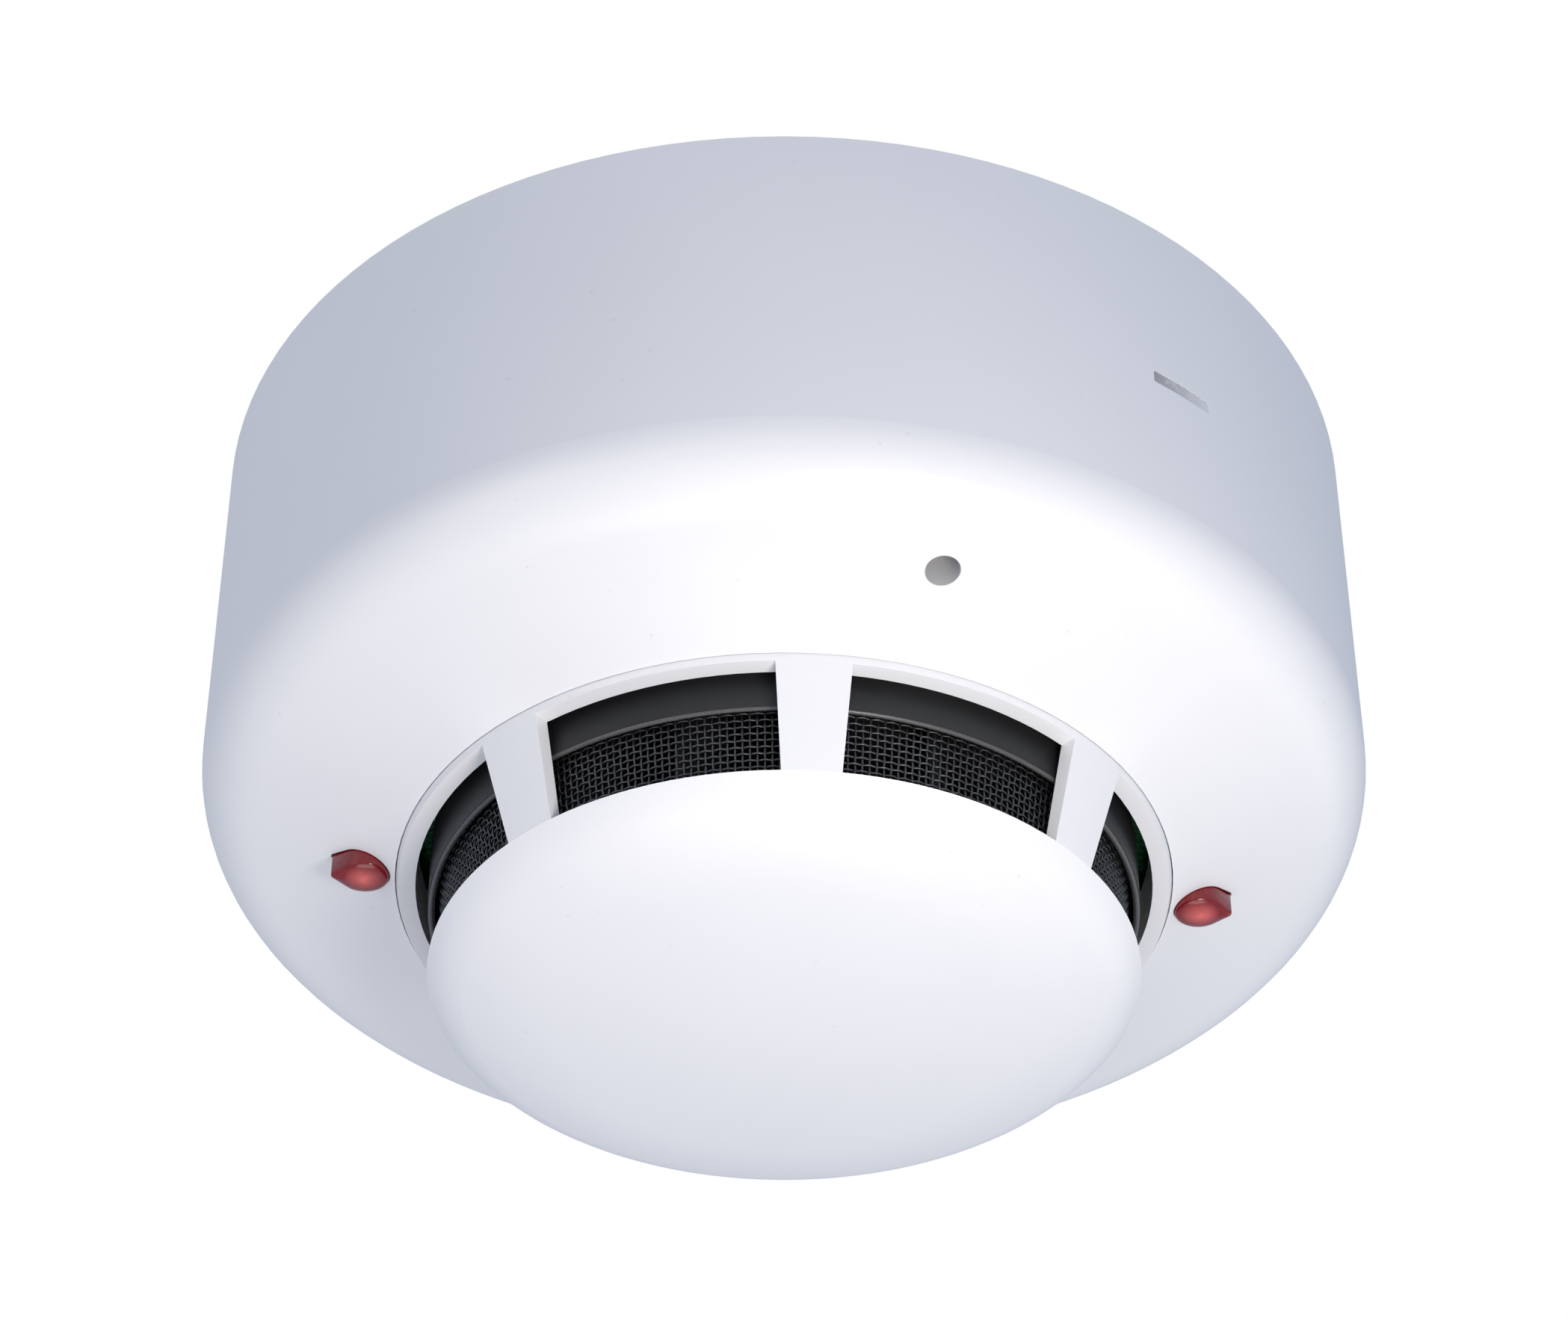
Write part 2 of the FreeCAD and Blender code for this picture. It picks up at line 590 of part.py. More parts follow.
def cut_round(body, corners, direction, turn):
    """Cut an outline of (radius, z) corners along an arc centred on a direction."""
    doc.recompute()
    before = body.Shape.Volume
    sketch = section_sketch(body, direction)
    draw_outline(sketch, corners)
    feature = body.newObject("PartDesign::Groove", "Groove")
    feature.Profile = sketch
    feature.ReferenceAxis = (sketch, ["V_Axis"])
    feature.Midplane = True
    bind(feature, "Angle", turn)
    doc.recompute()
    if body.Shape.Volume >= before - 1e-6:
        raise RuntimeError(f"a groove in {body.Label} cuts nothing")
    return feature


def cut_window(body, direction, top_turn, foot_turn):
    """Cut one window of the cage, wider at its foot than at its top, centred on a direction."""
    doc.recompute()
    before = body.Shape.Volume
    outside = S.window_top_radius + S.cutter_reach
    sketches = []
    for depth, turn in ((S.window_top_depth, top_turn), (S.window_foot_depth, foot_turn)):
        sketch = flat_sketch(body, -depth)
        start, end = direction - turn / 2, direction + turn / 2
        draw_sector(sketch, S.window_cut_inside, outside, start, end)
        sketches.append(sketch)
    loft = body.newObject("PartDesign::SubtractiveLoft", "Loft")
    loft.Profile = sketches[0]
    loft.Sections = [sketches[1]]
    loft.Ruled = True
    doc.recompute()
    if body.Shape.Volume >= before - 1e-6:
        raise RuntimeError(f"a window in {body.Label} cuts nothing")


def repeat_round(body, features, count):
    """Repeat features evenly about the Z axis."""
    doc.recompute()
    pattern = body.newObject("PartDesign::PolarPattern", "Pattern")
    pattern.Originals = features
    axis = next(f for f in body.Origin.OriginFeatures if f.Role == "Z_Axis")
    pattern.Axis = (axis, [""])
    pattern.Angle = 360
    pattern.Occurrences = int(count)
    body.Tip = pattern
    return pattern


def group(label, members):
    """Several separate solids that share one node."""
    compound = doc.addObject("Part::Compound", label)
    compound.Label = label
    compound.Links = members
    return keep(compound)


def place_x(radius, direction):
    return radius * cos_of(as_size(direction))


def place_y(radius, direction):
    return radius * sin_of(as_size(direction))


# ---------------------------------------------------------------- mounting base


def base_sections():
    """The base's floor, skirt and cable rim as one turned outline."""
    cable_outside = S.cable_radius + S.cable_rim
    return [
        (S.cable_radius, as_size(0)),
        (S.base_radius, as_size(0)),
        (S.base_radius, -S.skirt_foot),
        (S.skirt_inside, -S.skirt_foot),
        (S.skirt_inside, -S.base_floor),
        (cable_outside, -S.base_floor),
        (cable_outside, -S.cable_rim_foot),
        (S.cable_radius, -S.cable_rim_foot),
    ]


def add_bayonet_seats(body):
    """Three ledges that carry the head's lugs, each between a lock stop and a release stop."""
    weld = S.skirt_inside + S.weld_depth
    half_lug, half_ledge = S.lug_turn / 2, S.ledge_turn / 2
    for direction in BAYONET_ANGLES:
        lock_stop = direction + half_lug + S.stop_gap
        release_stop = direction - half_lug - S.twist - S.stop_gap
        spans = (
            (S.ledge_top, direction - half_ledge, direction + half_ledge),
            (S.base_floor, lock_stop, lock_stop + S.stop_turn),
            (S.base_floor, release_stop - S.stop_turn, release_stop),
        )
        for top, start, end in spans:
            add_prism(body, draw_sector, top, S.ledge_foot, S.ledge_inside, weld, start, end)


def add_lock_land(body):
    """The land that the locking screw presses on, as long as the head's twist."""
    start = S.lock_angle - S.twist - S.land_margin
    end = S.lock_angle + S.land_margin
    weld = S.skirt_inside + S.weld_depth
    add_prism(body, draw_sector, S.ledge_top, S.ledge_foot, S.land_inside, weld, start, end)


def add_fixing_slots(body):
    """Two pairs of slots for the screws into a ceiling box, each on a raised land."""
    zero = as_size(0)
    along_x = S.slot_spacing_x / 2
    along_y = S.slot_spacing_y / 2
    land_foot = S.base_floor + S.slot_land_height
    places = (
        (along_x, zero, True),
        (-along_x, zero, True),
        (zero, along_y, False),
        (zero, -along_y, False),
    )
    for x, y, lies_along_x in places:
        land_length = S.slot_length + 2 * S.slot_land
        half_width = S.slot_half_width + S.slot_land
        land = (x, y, half_width, land_length, lies_along_x)
        add_prism(body, draw_slot, S.base_floor, land_foot, *land)
    for x, y, lies_along_x in places:
        slot = (x, y, S.slot_half_width, S.slot_length, lies_along_x)
        cut_prism(body, draw_slot, as_size(0), land_foot, *slot)


def build_mounting_base():
    body = new_body("mounting_base")
    revolve(body, base_sections())
    add_bayonet_seats(body)
    add_lock_land(body)
    boss = add_prism(
        body, draw_turned_box, S.base_floor, S.boss_foot,
        S.boss_top_radius, S.boss_end_radius, S.boss_half_width, TERMINAL_ANGLES[0],
    )
    repeat_round(body, [boss], len(TERMINAL_ANGLES))
    add_fixing_slots(body)
    hole = S.terminal_screw_radius + S.terminal_hole_gap
    hole_end = S.terminal_screw_end - S.terminal_hole_relief
    for direction in TERMINAL_ANGLES:
        x, y = place_x(S.terminal_circle, direction), place_y(S.terminal_circle, direction)
        cut_prism(body, draw_circle, hole_end, S.boss_foot, x, y, hole)
    for direction in TERMINAL_ANGLES:
        half = S.recess_turn / 2
        cut_prism(
            body, draw_sector, as_size(0), S.recess_depth,
            S.recess_inside, S.recess_outside, direction - half, direction + half,
        )
    return keep(body)


def build_base_contact(number, direction):
    """A sprung strip under a terminal screw, with two leaves that grip the head's blade."""
    body = new_body(f"base_contact_{number}", direction)
    strip_foot = S.boss_foot + S.strip_thickness
    leaf_half = S.leaf_turn / 2
    inner_leaf = S.blade_inside - S.blade_gap - S.leaf_thickness
    outer_leaf = S.blade_inside + S.blade_thickness + S.blade_gap
    far_edge = outer_leaf + S.leaf_thickness
    strip_end = inner_leaf + S.leaf_thickness / 2
    strip = (S.strip_inner, strip_end, -S.strip_half_width, S.strip_half_width)
    add_prism(body, draw_box, S.boss_foot, strip_foot, *strip)
    add_prism(body, draw_sector, S.boss_foot, strip_foot, inner_leaf, far_edge, -leaf_half, leaf_half)
    for inside in (inner_leaf, outer_leaf):
        leaf = (inside, inside + S.leaf_thickness, -leaf_half, leaf_half)
        add_prism(body, draw_sector, S.boss_foot, S.leaf_foot, *leaf)
    hole = S.terminal_screw_radius + S.terminal_hole_gap
    cut_prism(body, draw_circle, S.boss_foot, strip_foot, S.terminal_circle, 0, hole)
    return keep(body)


def build_clamp_plate(number, direction):
    """The square plate that presses a wire onto the contact strip."""
    body = new_body(f"clamp_plate_{number}", direction)
    top = S.boss_foot + S.strip_thickness
    foot = top + S.clamp_thickness
    half = S.clamp_half_width
    centre = S.terminal_circle
    add_prism(body, draw_box, top, foot, centre - half, centre + half, -half, half)
    hole = S.terminal_screw_radius + S.terminal_hole_gap
    cut_prism(body, draw_circle, top, foot, centre, 0, hole)
    groove_half = S.wire_groove_half_width
    for offset in (-S.wire_groove_offset, S.wire_groove_offset):
        groove = (centre - half, centre + half, offset - groove_half, offset + groove_half)
        cut_prism(body, draw_box, top, top + S.wire_groove, *groove)
    return keep(body)


def build_terminal_screw(number, direction):
    """A pan-head screw with a cross of two driver slots in its lower face."""
    body = new_body(f"terminal_screw_{number}", direction)
    seat = S.boss_foot + S.strip_thickness + S.clamp_thickness
    face = seat + S.terminal_head_height
    centre = S.terminal_circle
    shank = (centre, 0, S.terminal_screw_radius)
    add_prism(body, draw_circle, S.terminal_screw_end, seat + S.weld_depth, *shank)
    add_prism(body, draw_circle, seat, face, centre, 0, S.terminal_head_radius)
    half_slot = S.driver_slot_width / 2
    reach = S.terminal_head_radius * S.driver_slot_reach
    for along, across in ((reach, half_slot), (half_slot, reach)):
        cross = (centre - along, centre + along, -across, across)
        cut_prism(body, draw_box, face - S.driver_slot_depth, face, *cross)
    return body


# ---------------------------------------------------------------- rear housing of the head


def build_rear_housing():
    body = new_body("rear_housing")
    plate_foot = S.rear_top + S.rear_thickness
    revolve(body, [
        (as_size(0), -S.rear_top),
        (S.ring_inside, -S.rear_top),
        (S.ring_inside, -S.ring_top),
        (S.ring_outside, -S.ring_top),
        (S.ring_outside, -S.rear_top),
        (S.rear_radius, -S.rear_top),
        (S.rear_radius, -plate_foot),
        (as_size(0), -plate_foot),
    ])
    half_lug = S.lug_turn / 2
    weld = S.ring_outside - S.weld_depth
    for direction in BAYONET_ANGLES:
        lug = (weld, S.lug_radius, direction - half_lug, direction + half_lug)
        add_prism(body, draw_sector, S.lug_top, S.lug_foot, *lug)
    lock_x, lock_y = place_x(S.lock_circle, S.lock_angle), place_y(S.lock_circle, S.lock_angle)
    lock_boss = (lock_x, lock_y, S.lock_boss_radius)
    add_prism(body, draw_circle, S.lock_boss_top, S.lock_boss_foot, *lock_boss)
    posts = [(place_x(S.clamp_circle, a), place_y(S.clamp_circle, a)) for a in CLAMP_ANGLES]
    for x, y in posts:
        add_prism(body, draw_circle, S.rear_top + S.weld_depth, S.board_top, x, y, S.post_radius)
    for x, y in posts:
        cut_prism(body, draw_circle, S.rear_top, S.post_seat_depth, x, y, S.post_bore)
        cut_prism(body, draw_circle, S.post_seat_depth, S.board_top, x, y, S.screw_hole)
    cut_prism(body, draw_circle, S.ring_top, S.lock_boss_foot, lock_x, lock_y, S.insert_radius)
    slot_half = S.blade_turn / 2 + S.blade_slot_turn
    slot_inside = S.blade_inside - S.blade_gap
    slot_outside = S.blade_inside + S.blade_thickness + S.blade_gap
    for direction in TERMINAL_ANGLES:
        slot = (slot_inside, slot_outside, direction - slot_half, direction + slot_half)
        cut_prism(body, draw_sector, S.rear_top, plate_foot, *slot)
    return keep(body)


def build_head_contact(number, direction):
    """A curved blade for the base's leaves, with a tail soldered to the board."""
    body = new_body(f"head_contact_{number}", direction)
    half = S.blade_turn / 2
    outside = S.blade_inside + S.blade_thickness
    add_prism(body, draw_sector, S.blade_top, S.blade_foot, S.blade_inside, outside, -half, half)
    tail_half = S.blade_tail_half_width
    tail = (S.blade_inside, outside, -tail_half, tail_half)
    add_prism(body, draw_box, S.blade_foot - S.weld_depth, S.blade_tail_foot, *tail)
    return keep(body)


def build_housing_screw(number, direction):
    """A long-reach screw from a post of the rear housing into a boss of the cover."""
    body = new_body(f"housing_screw_{number}", direction)
    seat = S.post_seat_depth
    head_top = seat - S.screw_head_height
    end = seat + S.screw_length
    add_prism(body, draw_circle, seat - S.weld_depth, end, S.clamp_circle, 0, S.screw_radius)
    add_prism(body, draw_circle, head_top, seat, S.clamp_circle, 0, S.screw_head_radius)
    half_slot = S.driver_slot_width / 2
    reach = S.screw_head_radius * S.driver_slot_reach
    for along, across in ((reach, half_slot), (half_slot, reach)):
        cross = (S.clamp_circle - along, S.clamp_circle + along, -across, across)
        cut_prism(body, draw_box, head_top, head_top + S.driver_slot_depth, *cross)
    return body


def build_lock_insert():
    """The brass insert that the locking screw turns in."""
    body = new_body("lock_insert", S.lock_angle)
    top, foot = S.lock_boss_top + S.insert_margin, S.lock_boss_foot - S.insert_margin
    add_prism(body, draw_circle, top, foot, S.lock_circle, 0, S.insert_radius)
    cut_prism(body, draw_circle, top, foot, S.lock_circle, 0, S.insert_bore)
    return keep(body)


def build_lock_screw():
    """A grub screw with a hex socket in its lower end and a narrow dog point on top."""
    body = new_body("lock_screw", S.lock_angle)
    tip, foot = S.lock_screw_tip, S.lock_screw_tip + S.lock_screw_length
    shoulder = tip + S.lock_point_length
    point = (S.lock_circle, 0, S.lock_point_radius)
    add_prism(body, draw_circle, shoulder, foot, S.lock_circle, 0, S.lock_screw_radius)
    add_prism(body, draw_circle, tip, shoulder + S.weld_depth, *point)
    corner_radius = S.lock_key_width / 2 / cos_of(as_size(180 / HEX_SIDES))
    corners = []
    for side in range(HEX_SIDES):
        direction = as_size(360 / HEX_SIDES * side)
        x = S.lock_circle + corner_radius * cos_of(direction)
        corners.append((x, corner_radius * sin_of(direction)))
    cut_prism(body, draw_outline, foot - S.lock_key_depth, foot, corners)
    return keep(body)


# ---------------------------------------------------------------- cover and sensor cage


def cover_outline():
    """The cover's section: a straight wall, a rounded edge and a hollow face to the mouth."""
    edge_centre = S.cover_radius - S.edge_radius
    inner_radius = S.edge_radius - S.cover_wall
    cosine, sine = cos_of(S.edge_sweep), sin_of(S.edge_sweep)
    wall_inside = S.cover_radius - S.cover_wall
    return [
        (wall_inside, -S.rim_depth),
        (S.cover_radius, -S.rim_depth),
        (S.cover_radius, -S.wall_depth, S.edge_radius, -1),
        (
            edge_centre + S.edge_radius * cosine,
            -(S.wall_depth + S.edge_radius * sine),
            S.face_sweep_radius, 1,
        ),
        (S.mouth_radius, -S.mouth_depth),
        (S.mouth_radius, -(S.mouth_depth - S.mouth_thickness)),
        (
            edge_centre + inner_radius * cosine,
            -(S.wall_depth + inner_radius * sine),
            inner_radius, 1,
        ),
        (wall_inside, -S.wall_depth),
    ]


def build_outer_cover():
    body = new_body("outer_cover")
    revolve(body, cover_outline())
    board_foot = S.board_top + S.board_thickness
    bosses = [(place_x(S.clamp_circle, a), place_y(S.clamp_circle, a)) for a in CLAMP_ANGLES]
    for x, y in bosses:
        add_prism(body, draw_circle, board_foot, S.cover_boss_foot, x, y, S.cover_boss_radius)
    lock_x, lock_y = place_x(S.lock_circle, S.lock_angle), place_y(S.lock_circle, S.lock_angle)
    tube = (lock_x, lock_y, S.lock_tube_radius)
    add_prism(body, draw_circle, S.lock_tube_top, S.lock_tube_foot, *tube)
    for x, y in bosses:
        pilot_foot = S.cover_boss_foot - S.pilot_floor
        cut_prism(body, draw_circle, board_foot, pilot_foot, x, y, S.pilot_radius)
    cut_prism(body, draw_circle, S.lock_tube_top, S.mouth_depth, lock_x, lock_y, S.lock_hole)
    opening_foot = S.lens_foot + S.cutter_reach
    opening = cut_prism(body, draw_teardrop, S.lens_top, opening_foot, S.lens_gap)
    repeat_round(body, [opening], len(INDICATORS))
    mark_floor = S.cover_radius - S.mark_recess
    mark_reach = S.cover_radius + S.cutter_reach
    mark_half = S.mark_height / 2
    cut_round(body, [
        (mark_floor, -(S.mark_depth + mark_half)),
        (mark_reach, -(S.mark_depth + mark_half)),
        (mark_reach, -(S.mark_depth - mark_half)),
        (mark_floor, -(S.mark_depth - mark_half)),
    ], S.mark_angle, S.mark_length)
    return keep(body)


def cage_outline():
    """The cage's section before its windows are cut: flange, collar, leaning wall and cap."""
    collar_outside = S.mouth_radius - S.cage_gap
    flange_foot = S.cage_flange_top + S.cage_flange_edge
    foot_inside = S.window_foot_radius - S.rib_thickness
    return [
        (as_size(0), -(S.cap_depth - S.cap_thickness)),
        (S.cap_flat_radius, -(S.cap_flat_depth - S.cap_thickness)),
        (S.cap_knee_radius - S.cap_knee_inset, -(S.cap_knee_depth - S.cap_knee_lift)),
        (foot_inside, -S.window_foot_depth),
        (S.collar_inside, -S.window_top_depth),
        (S.collar_inside, -S.cage_flange_top),
        (S.cage_flange_radius, -S.cage_flange_top),
        (S.cage_flange_radius, -flange_foot),
        (collar_outside, -(flange_foot + S.cage_flange_slope)),
        (collar_outside, -S.mouth_depth),
        (S.window_top_radius, -S.window_top_depth),
        (S.window_foot_radius, -S.window_foot_depth, S.cap_edge_bend, -1),
        (S.cap_knee_radius, -S.cap_knee_depth, S.cap_shoulder_bend, -1),
        (S.cap_flat_radius, -S.cap_flat_depth, S.cap_dome_bend, -1),
        (as_size(0), -S.cap_depth),
    ]


def build_sensor_cage():
    """Two wide windows face the indicator lenses, and two narrow pairs face front and back."""
    body = new_body("sensor_cage")
    revolve(body, cage_outline())
    wide = 180 - 2 * S.rib_pitch
    for direction in (0, 180):
        cut_window(body, as_size(direction), wide - S.rib_top_turn, wide - S.rib_foot_turn)
    narrow = S.rib_pitch
    for front_rib in (90, 270):
        for side in (-0.5, 0.5):
            middle = front_rib + side * S.rib_pitch
            cut_window(body, middle, narrow - S.rib_top_turn, narrow - S.rib_foot_turn)
    notch_half = S.lens_radius + S.notch_margin
    notch_end = S.cage_flange_radius + S.cutter_reach
    notch = (S.mouth_radius, notch_end, -notch_half, notch_half)
    flange_end = S.cage_flange_top + S.cage_flange_edge + S.cage_flange_slope + S.cutter_reach
    opening = cut_prism(body, draw_box, S.cage_flange_top, flange_end, *notch)
    repeat_round(body, [opening], len(INDICATORS))
    return keep(body)


# ---------------------------------------------------------------- sensing chamber


def build_chamber_base():
    body = new_body("chamber_base")
    board_foot = S.board_top + S.board_thickness
    floor_foot = S.chamber_top + S.chamber_floor
    revolve(body, [
        (as_size(0), -S.chamber_top),
        (S.spacer_inside, -S.chamber_top),
        (S.spacer_inside, -board_foot),
        (S.spacer_outside, -board_foot),
        (S.spacer_outside, -S.chamber_top),
        (S.chamber_radius, -S.chamber_top),
        (S.chamber_radius, -S.chamber_rim_foot),
        (S.chamber_rim_inside, -S.chamber_rim_foot),
        (S.chamber_rim_inside, -floor_foot),
        (as_size(0), -floor_foot),
    ])
    for direction in (S.emitter_angle, S.receiver_angle):
        holder = (S.holder_front, S.holder_back, S.holder_half_width, direction)
        holder_top = S.chamber_top + S.weld_depth
        add_prism(body, draw_turned_box, holder_top, S.holder_foot, *holder)
    for direction in (S.emitter_angle, S.receiver_angle):
        near, far = S.holder_back + S.lead_slot_near, S.holder_back + S.lead_slot_far
        leads = (near, far, S.lead_pitch, direction)
        cut_prism(body, draw_turned_box, S.chamber_top, floor_foot, *leads)
        bore_optic(body, direction)
    return keep(body)


def bore_optic(body, direction):
    """Bore a holder along the beam, from its front face through its back."""
    doc.recompute()
    before = body.Shape.Volume
    turn = direction + 90
    sketch = body.newObject("Sketcher::SketchObject", "Sketch")
    plane = next(f for f in body.Origin.OriginFeatures if f.Role == "XZ_Plane")
    sketch.AttachmentSupport = [(plane, "")]
    sketch.MapMode = "FlatFace"
    sketch.AttachmentOffset = Placement(Vector(0, 0, 0), Rotation(Vector(0, 1, 0), turn.value))
    bind(sketch, "AttachmentOffset.Rotation.Angle", turn)
    draw_circle(sketch, 0, -S.beam_depth, S.optic_radius + S.optic_gap)
    bore = body.newObject("PartDesign::Pocket", "Pocket")
    bore.Profile = sketch
    bore.Reversed = False
    bind(bore, "Length", S.holder_back + S.cutter_reach)
    doc.recompute()
    if body.Shape.Volume >= before - 1e-6:
        bore.Reversed = True
        doc.recompute()
    if body.Shape.Volume >= before - 1e-6:
        raise RuntimeError("the bore of an optics holder cuts nothing")


def build_optic(label, direction, rounded):
    """The emitter or the photodiode, lying along the beam with two leads to the board."""
    body = new_body(label, direction)
    lies = body.newObject("Sketcher::SketchObject", "Sketch")
    plane = next(f for f in body.Origin.OriginFeatures if f.Role == "YZ_Plane")
    lies.AttachmentSupport = [(plane, "")]
    lies.MapMode = "FlatFace"
    front = S.holder_back - S.optic_length
    bind(lies, "AttachmentOffset.Base.z", front)
    draw_circle(lies, 0, -S.beam_depth, S.optic_radius)
    pad(body, lies, S.optic_length + S.weld_depth)
    flange = body.newObject("Sketcher::SketchObject", "Sketch")
    flange.AttachmentSupport = [(plane, "")]
    flange.MapMode = "FlatFace"
    bind(flange, "AttachmentOffset.Base.z", S.holder_back)
    draw_circle(flange, 0, -S.beam_depth, S.optic_flange)
    pad(body, flange, S.optic_flange_thickness)
    back = S.holder_back + S.optic_flange_thickness
    half_lead, half_pitch = S.lead_width / 2, S.lead_pitch / 2
    board_foot = S.board_top + S.board_thickness
    for side in (-1, 1):
        middle = half_pitch * side
        near, far = back - S.weld_depth, back + S.lead_width
        lead = (near, far, middle - half_lead, middle + half_lead)
        add_prism(body, draw_box, board_foot, S.beam_depth + half_lead, *lead)
    if rounded:
        add_ball(body, front, -S.beam_depth, S.emitter_dome)
    return keep(body)


def add_ball(body, x, z, radius):
    """Add a ball centred in the body's XZ plane."""
    ball = body.newObject("PartDesign::AdditiveSphere", "Ball")
    plane = next(f for f in body.Origin.OriginFeatures if f.Role == "XY_Plane")
    ball.AttachmentSupport = [(plane, "")]
    ball.MapMode = "FlatFace"
    bind(ball, "Radius", radius)
    bind(ball, "AttachmentOffset.Base.x", x)
    bind(ball, "AttachmentOffset.Base.z", z)


def build_chamber_lid():
    """The chamber's lid, with a ring of bent vanes that stop light but let air through."""
    body = new_body("chamber_lid")
    lid_foot = S.lid_top + S.lid_thickness
    revolve(body, [
        (as_size(0), -S.lid_top),
        (S.lid_radius, -S.lid_top),
        (S.lid_radius, -lid_foot),
        (as_size(0), -lid_foot),
    ])
    across = S.vane_thickness / 2
    vane = add_prism(body, draw_outline, S.vane_top, S.lid_top + S.weld_depth, [
        (S.vane_inner, -across),
        (S.vane_knee, S.vane_offset - across),
        (S.vane_outer, -across),
        (S.vane_outer, across),
        (S.vane_knee, S.vane_offset + 2 * across),
        (S.vane_inner, across),
    ])
    repeat_round(body, [vane], S.vane_count.value)
    return keep(body)


def build_insect_screen():
    """The leaning ring of mesh between the chamber and the ribs, as a thin plain wall."""
    body = new_body("insect_screen")
    revolve(body, [
        (S.screen_top_radius - S.screen_thickness, -S.screen_top),
        (S.screen_top_radius, -S.screen_top),
        (S.screen_foot_radius, -S.screen_foot),
        (S.screen_foot_radius - S.screen_thickness, -S.screen_foot),
    ])
    return keep(body)


def build_thermistor():
    """The bead that senses the air just inside a rear window, on two leads to the board."""
    body = new_body("thermistor", S.thermistor_angle)
    add_ball(body, S.thermistor_circle, -S.thermistor_depth, S.thermistor_radius)
    half, half_pitch = S.thermistor_lead / 2, S.thermistor_lead_pitch / 2
    near, far = S.thermistor_lead_circle - half, S.thermistor_lead_circle + half
    board_foot = S.board_top + S.board_thickness
    for middle in (-half_pitch, half_pitch):
        lead = (near, far, middle - half, middle + half)
        add_prism(body, draw_box, board_foot, S.thermistor_depth, *lead)
    return keep(body)


# ---------------------------------------------------------------- board and its components


def build_board():
    body = new_body("circuit_board")
    foot = S.board_top + S.board_thickness
    add_prism(body, draw_circle, S.board_top, foot, 0, 0, S.board_radius)
    for direction in CLAMP_ANGLES:
        x, y = place_x(S.clamp_circle, direction), place_y(S.clamp_circle, direction)
        cut_prism(body, draw_circle, S.board_top, foot, x, y, S.screw_hole)
    tail_circle = S.blade_inside + S.blade_thickness / 2
    for direction in TERMINAL_ANGLES:
        x, y = place_x(tail_circle, direction), place_y(tail_circle, direction)
        cut_prism(body, draw_circle, S.board_top, foot, x, y, S.blade_thickness)
    x, y = place_x(S.lock_circle, S.lock_angle), place_y(S.lock_circle, S.lock_angle)
    cut_prism(body, draw_circle, S.board_top, foot, x, y, S.board_notch)
    return keep(body)


def chip(label, x, y, length, width, height, above):
    """A block-shaped component, above or below the board."""
    x, y, length, width, height = [as_size(value) for value in (x, y, length, width, height)]
    block = doc.addObject("Part::Box", label)
    block.Label = label
    bind(block, "Length", length)
    bind(block, "Width", width)
    bind(block, "Height", height)
    low = -S.board_top if above else -(S.board_top + S.board_thickness + height)
    corner = (x - length / 2, y - width / 2, low)
    block.Placement = Placement(Vector(*[place.value for place in corner]), Rotation())
    for axis, place in zip("xyz", corner):
        bind(block, f"Placement.Base.{axis}", place)
    return block


def build_can(label):
    """An upright can-shaped capacitor on top of the board, with a groove and a rolled edge."""
    x, y = getattr(S, f"{label}_x"), getattr(S, f"{label}_y")
    radius, height = getattr(S, f"{label}_radius"), getattr(S, f"{label}_height")
    body = new_body(label)
    foot = S.board_top
    revolve(body, [
        (as_size(0), -foot),
        (radius, -foot),
        (radius, S.can_neck - foot),
        (radius - S.can_groove, S.can_neck + S.can_bead / 2 - foot),
        (radius, S.can_neck + S.can_bead - foot),
        (radius, height - S.can_bead / 2 - foot),
        (radius - S.can_bead / 2, height - foot),
        (as_size(0), height - foot),
    ])
    bind(body, "Placement.Base.x", x)
    bind(body, "Placement.Base.y", y)
    return keep(body)


def build_resistors():
    """Two rows of chip resistors under the board."""
    resistors = []
    for index in range(RESISTOR_COUNT):
        row, column = divmod(index, RESISTORS_IN_ROW)
        x = S.resistor_first_x + column * S.resistor_pitch_x
        y = S.resistor_first_y + row * S.resistor_pitch_y
        size = (S.resistor_length, S.resistor_width, S.resistor_height)
        resistors.append(chip(f"chip_resistor_{index + 1}", x, y, *size, False))
    group("chip_resistors", resistors)


def build_varistor():
    """A disc that stands on edge above the board on two legs."""
    disc = doc.addObject("Part::Cylinder", "surge_suppressor")
    disc.Label = "surge_suppressor"
    bind(disc, "Radius", S.varistor_radius)
    bind(disc, "Height", S.varistor_thickness)
    height = S.varistor_radius + S.varistor_lift - S.board_top
    lying = Rotation(Vector(1, 0, 0), 90)
    middle = (S.varistor_x, S.varistor_y, height)
    disc.Placement = Placement(Vector(*[place.value for place in middle]), lying)
    for axis, place in zip("xyz", middle):
        bind(disc, f"Placement.Base.{axis}", place)
    leg_y = S.varistor_y - S.varistor_thickness / 2
    half_pitch = S.varistor_leg_pitch / 2
    leg = (S.varistor_leg, S.varistor_leg, S.varistor_leg_height)
    legs = [chip("leg", S.varistor_x + side, leg_y, *leg, True) for side in (-half_pitch, half_pitch)]
    varistor = doc.addObject("Part::MultiFuse", "varistor")
    varistor.Shapes = [disc] + legs
    varistor.Label = "varistor"
    keep(varistor)


def build_components():
    for label, values in BLOCKS.items():
        fields = ("x", "y", "length", "width", "height")
        sizes = [getattr(S, f"{label}_{field}") for field in fields]
        keep(chip(label, *sizes, values[-1]))
    for label in CANS:
        build_can(label)
    build_resistors()
    build_varistor()
    build_reed_switch()


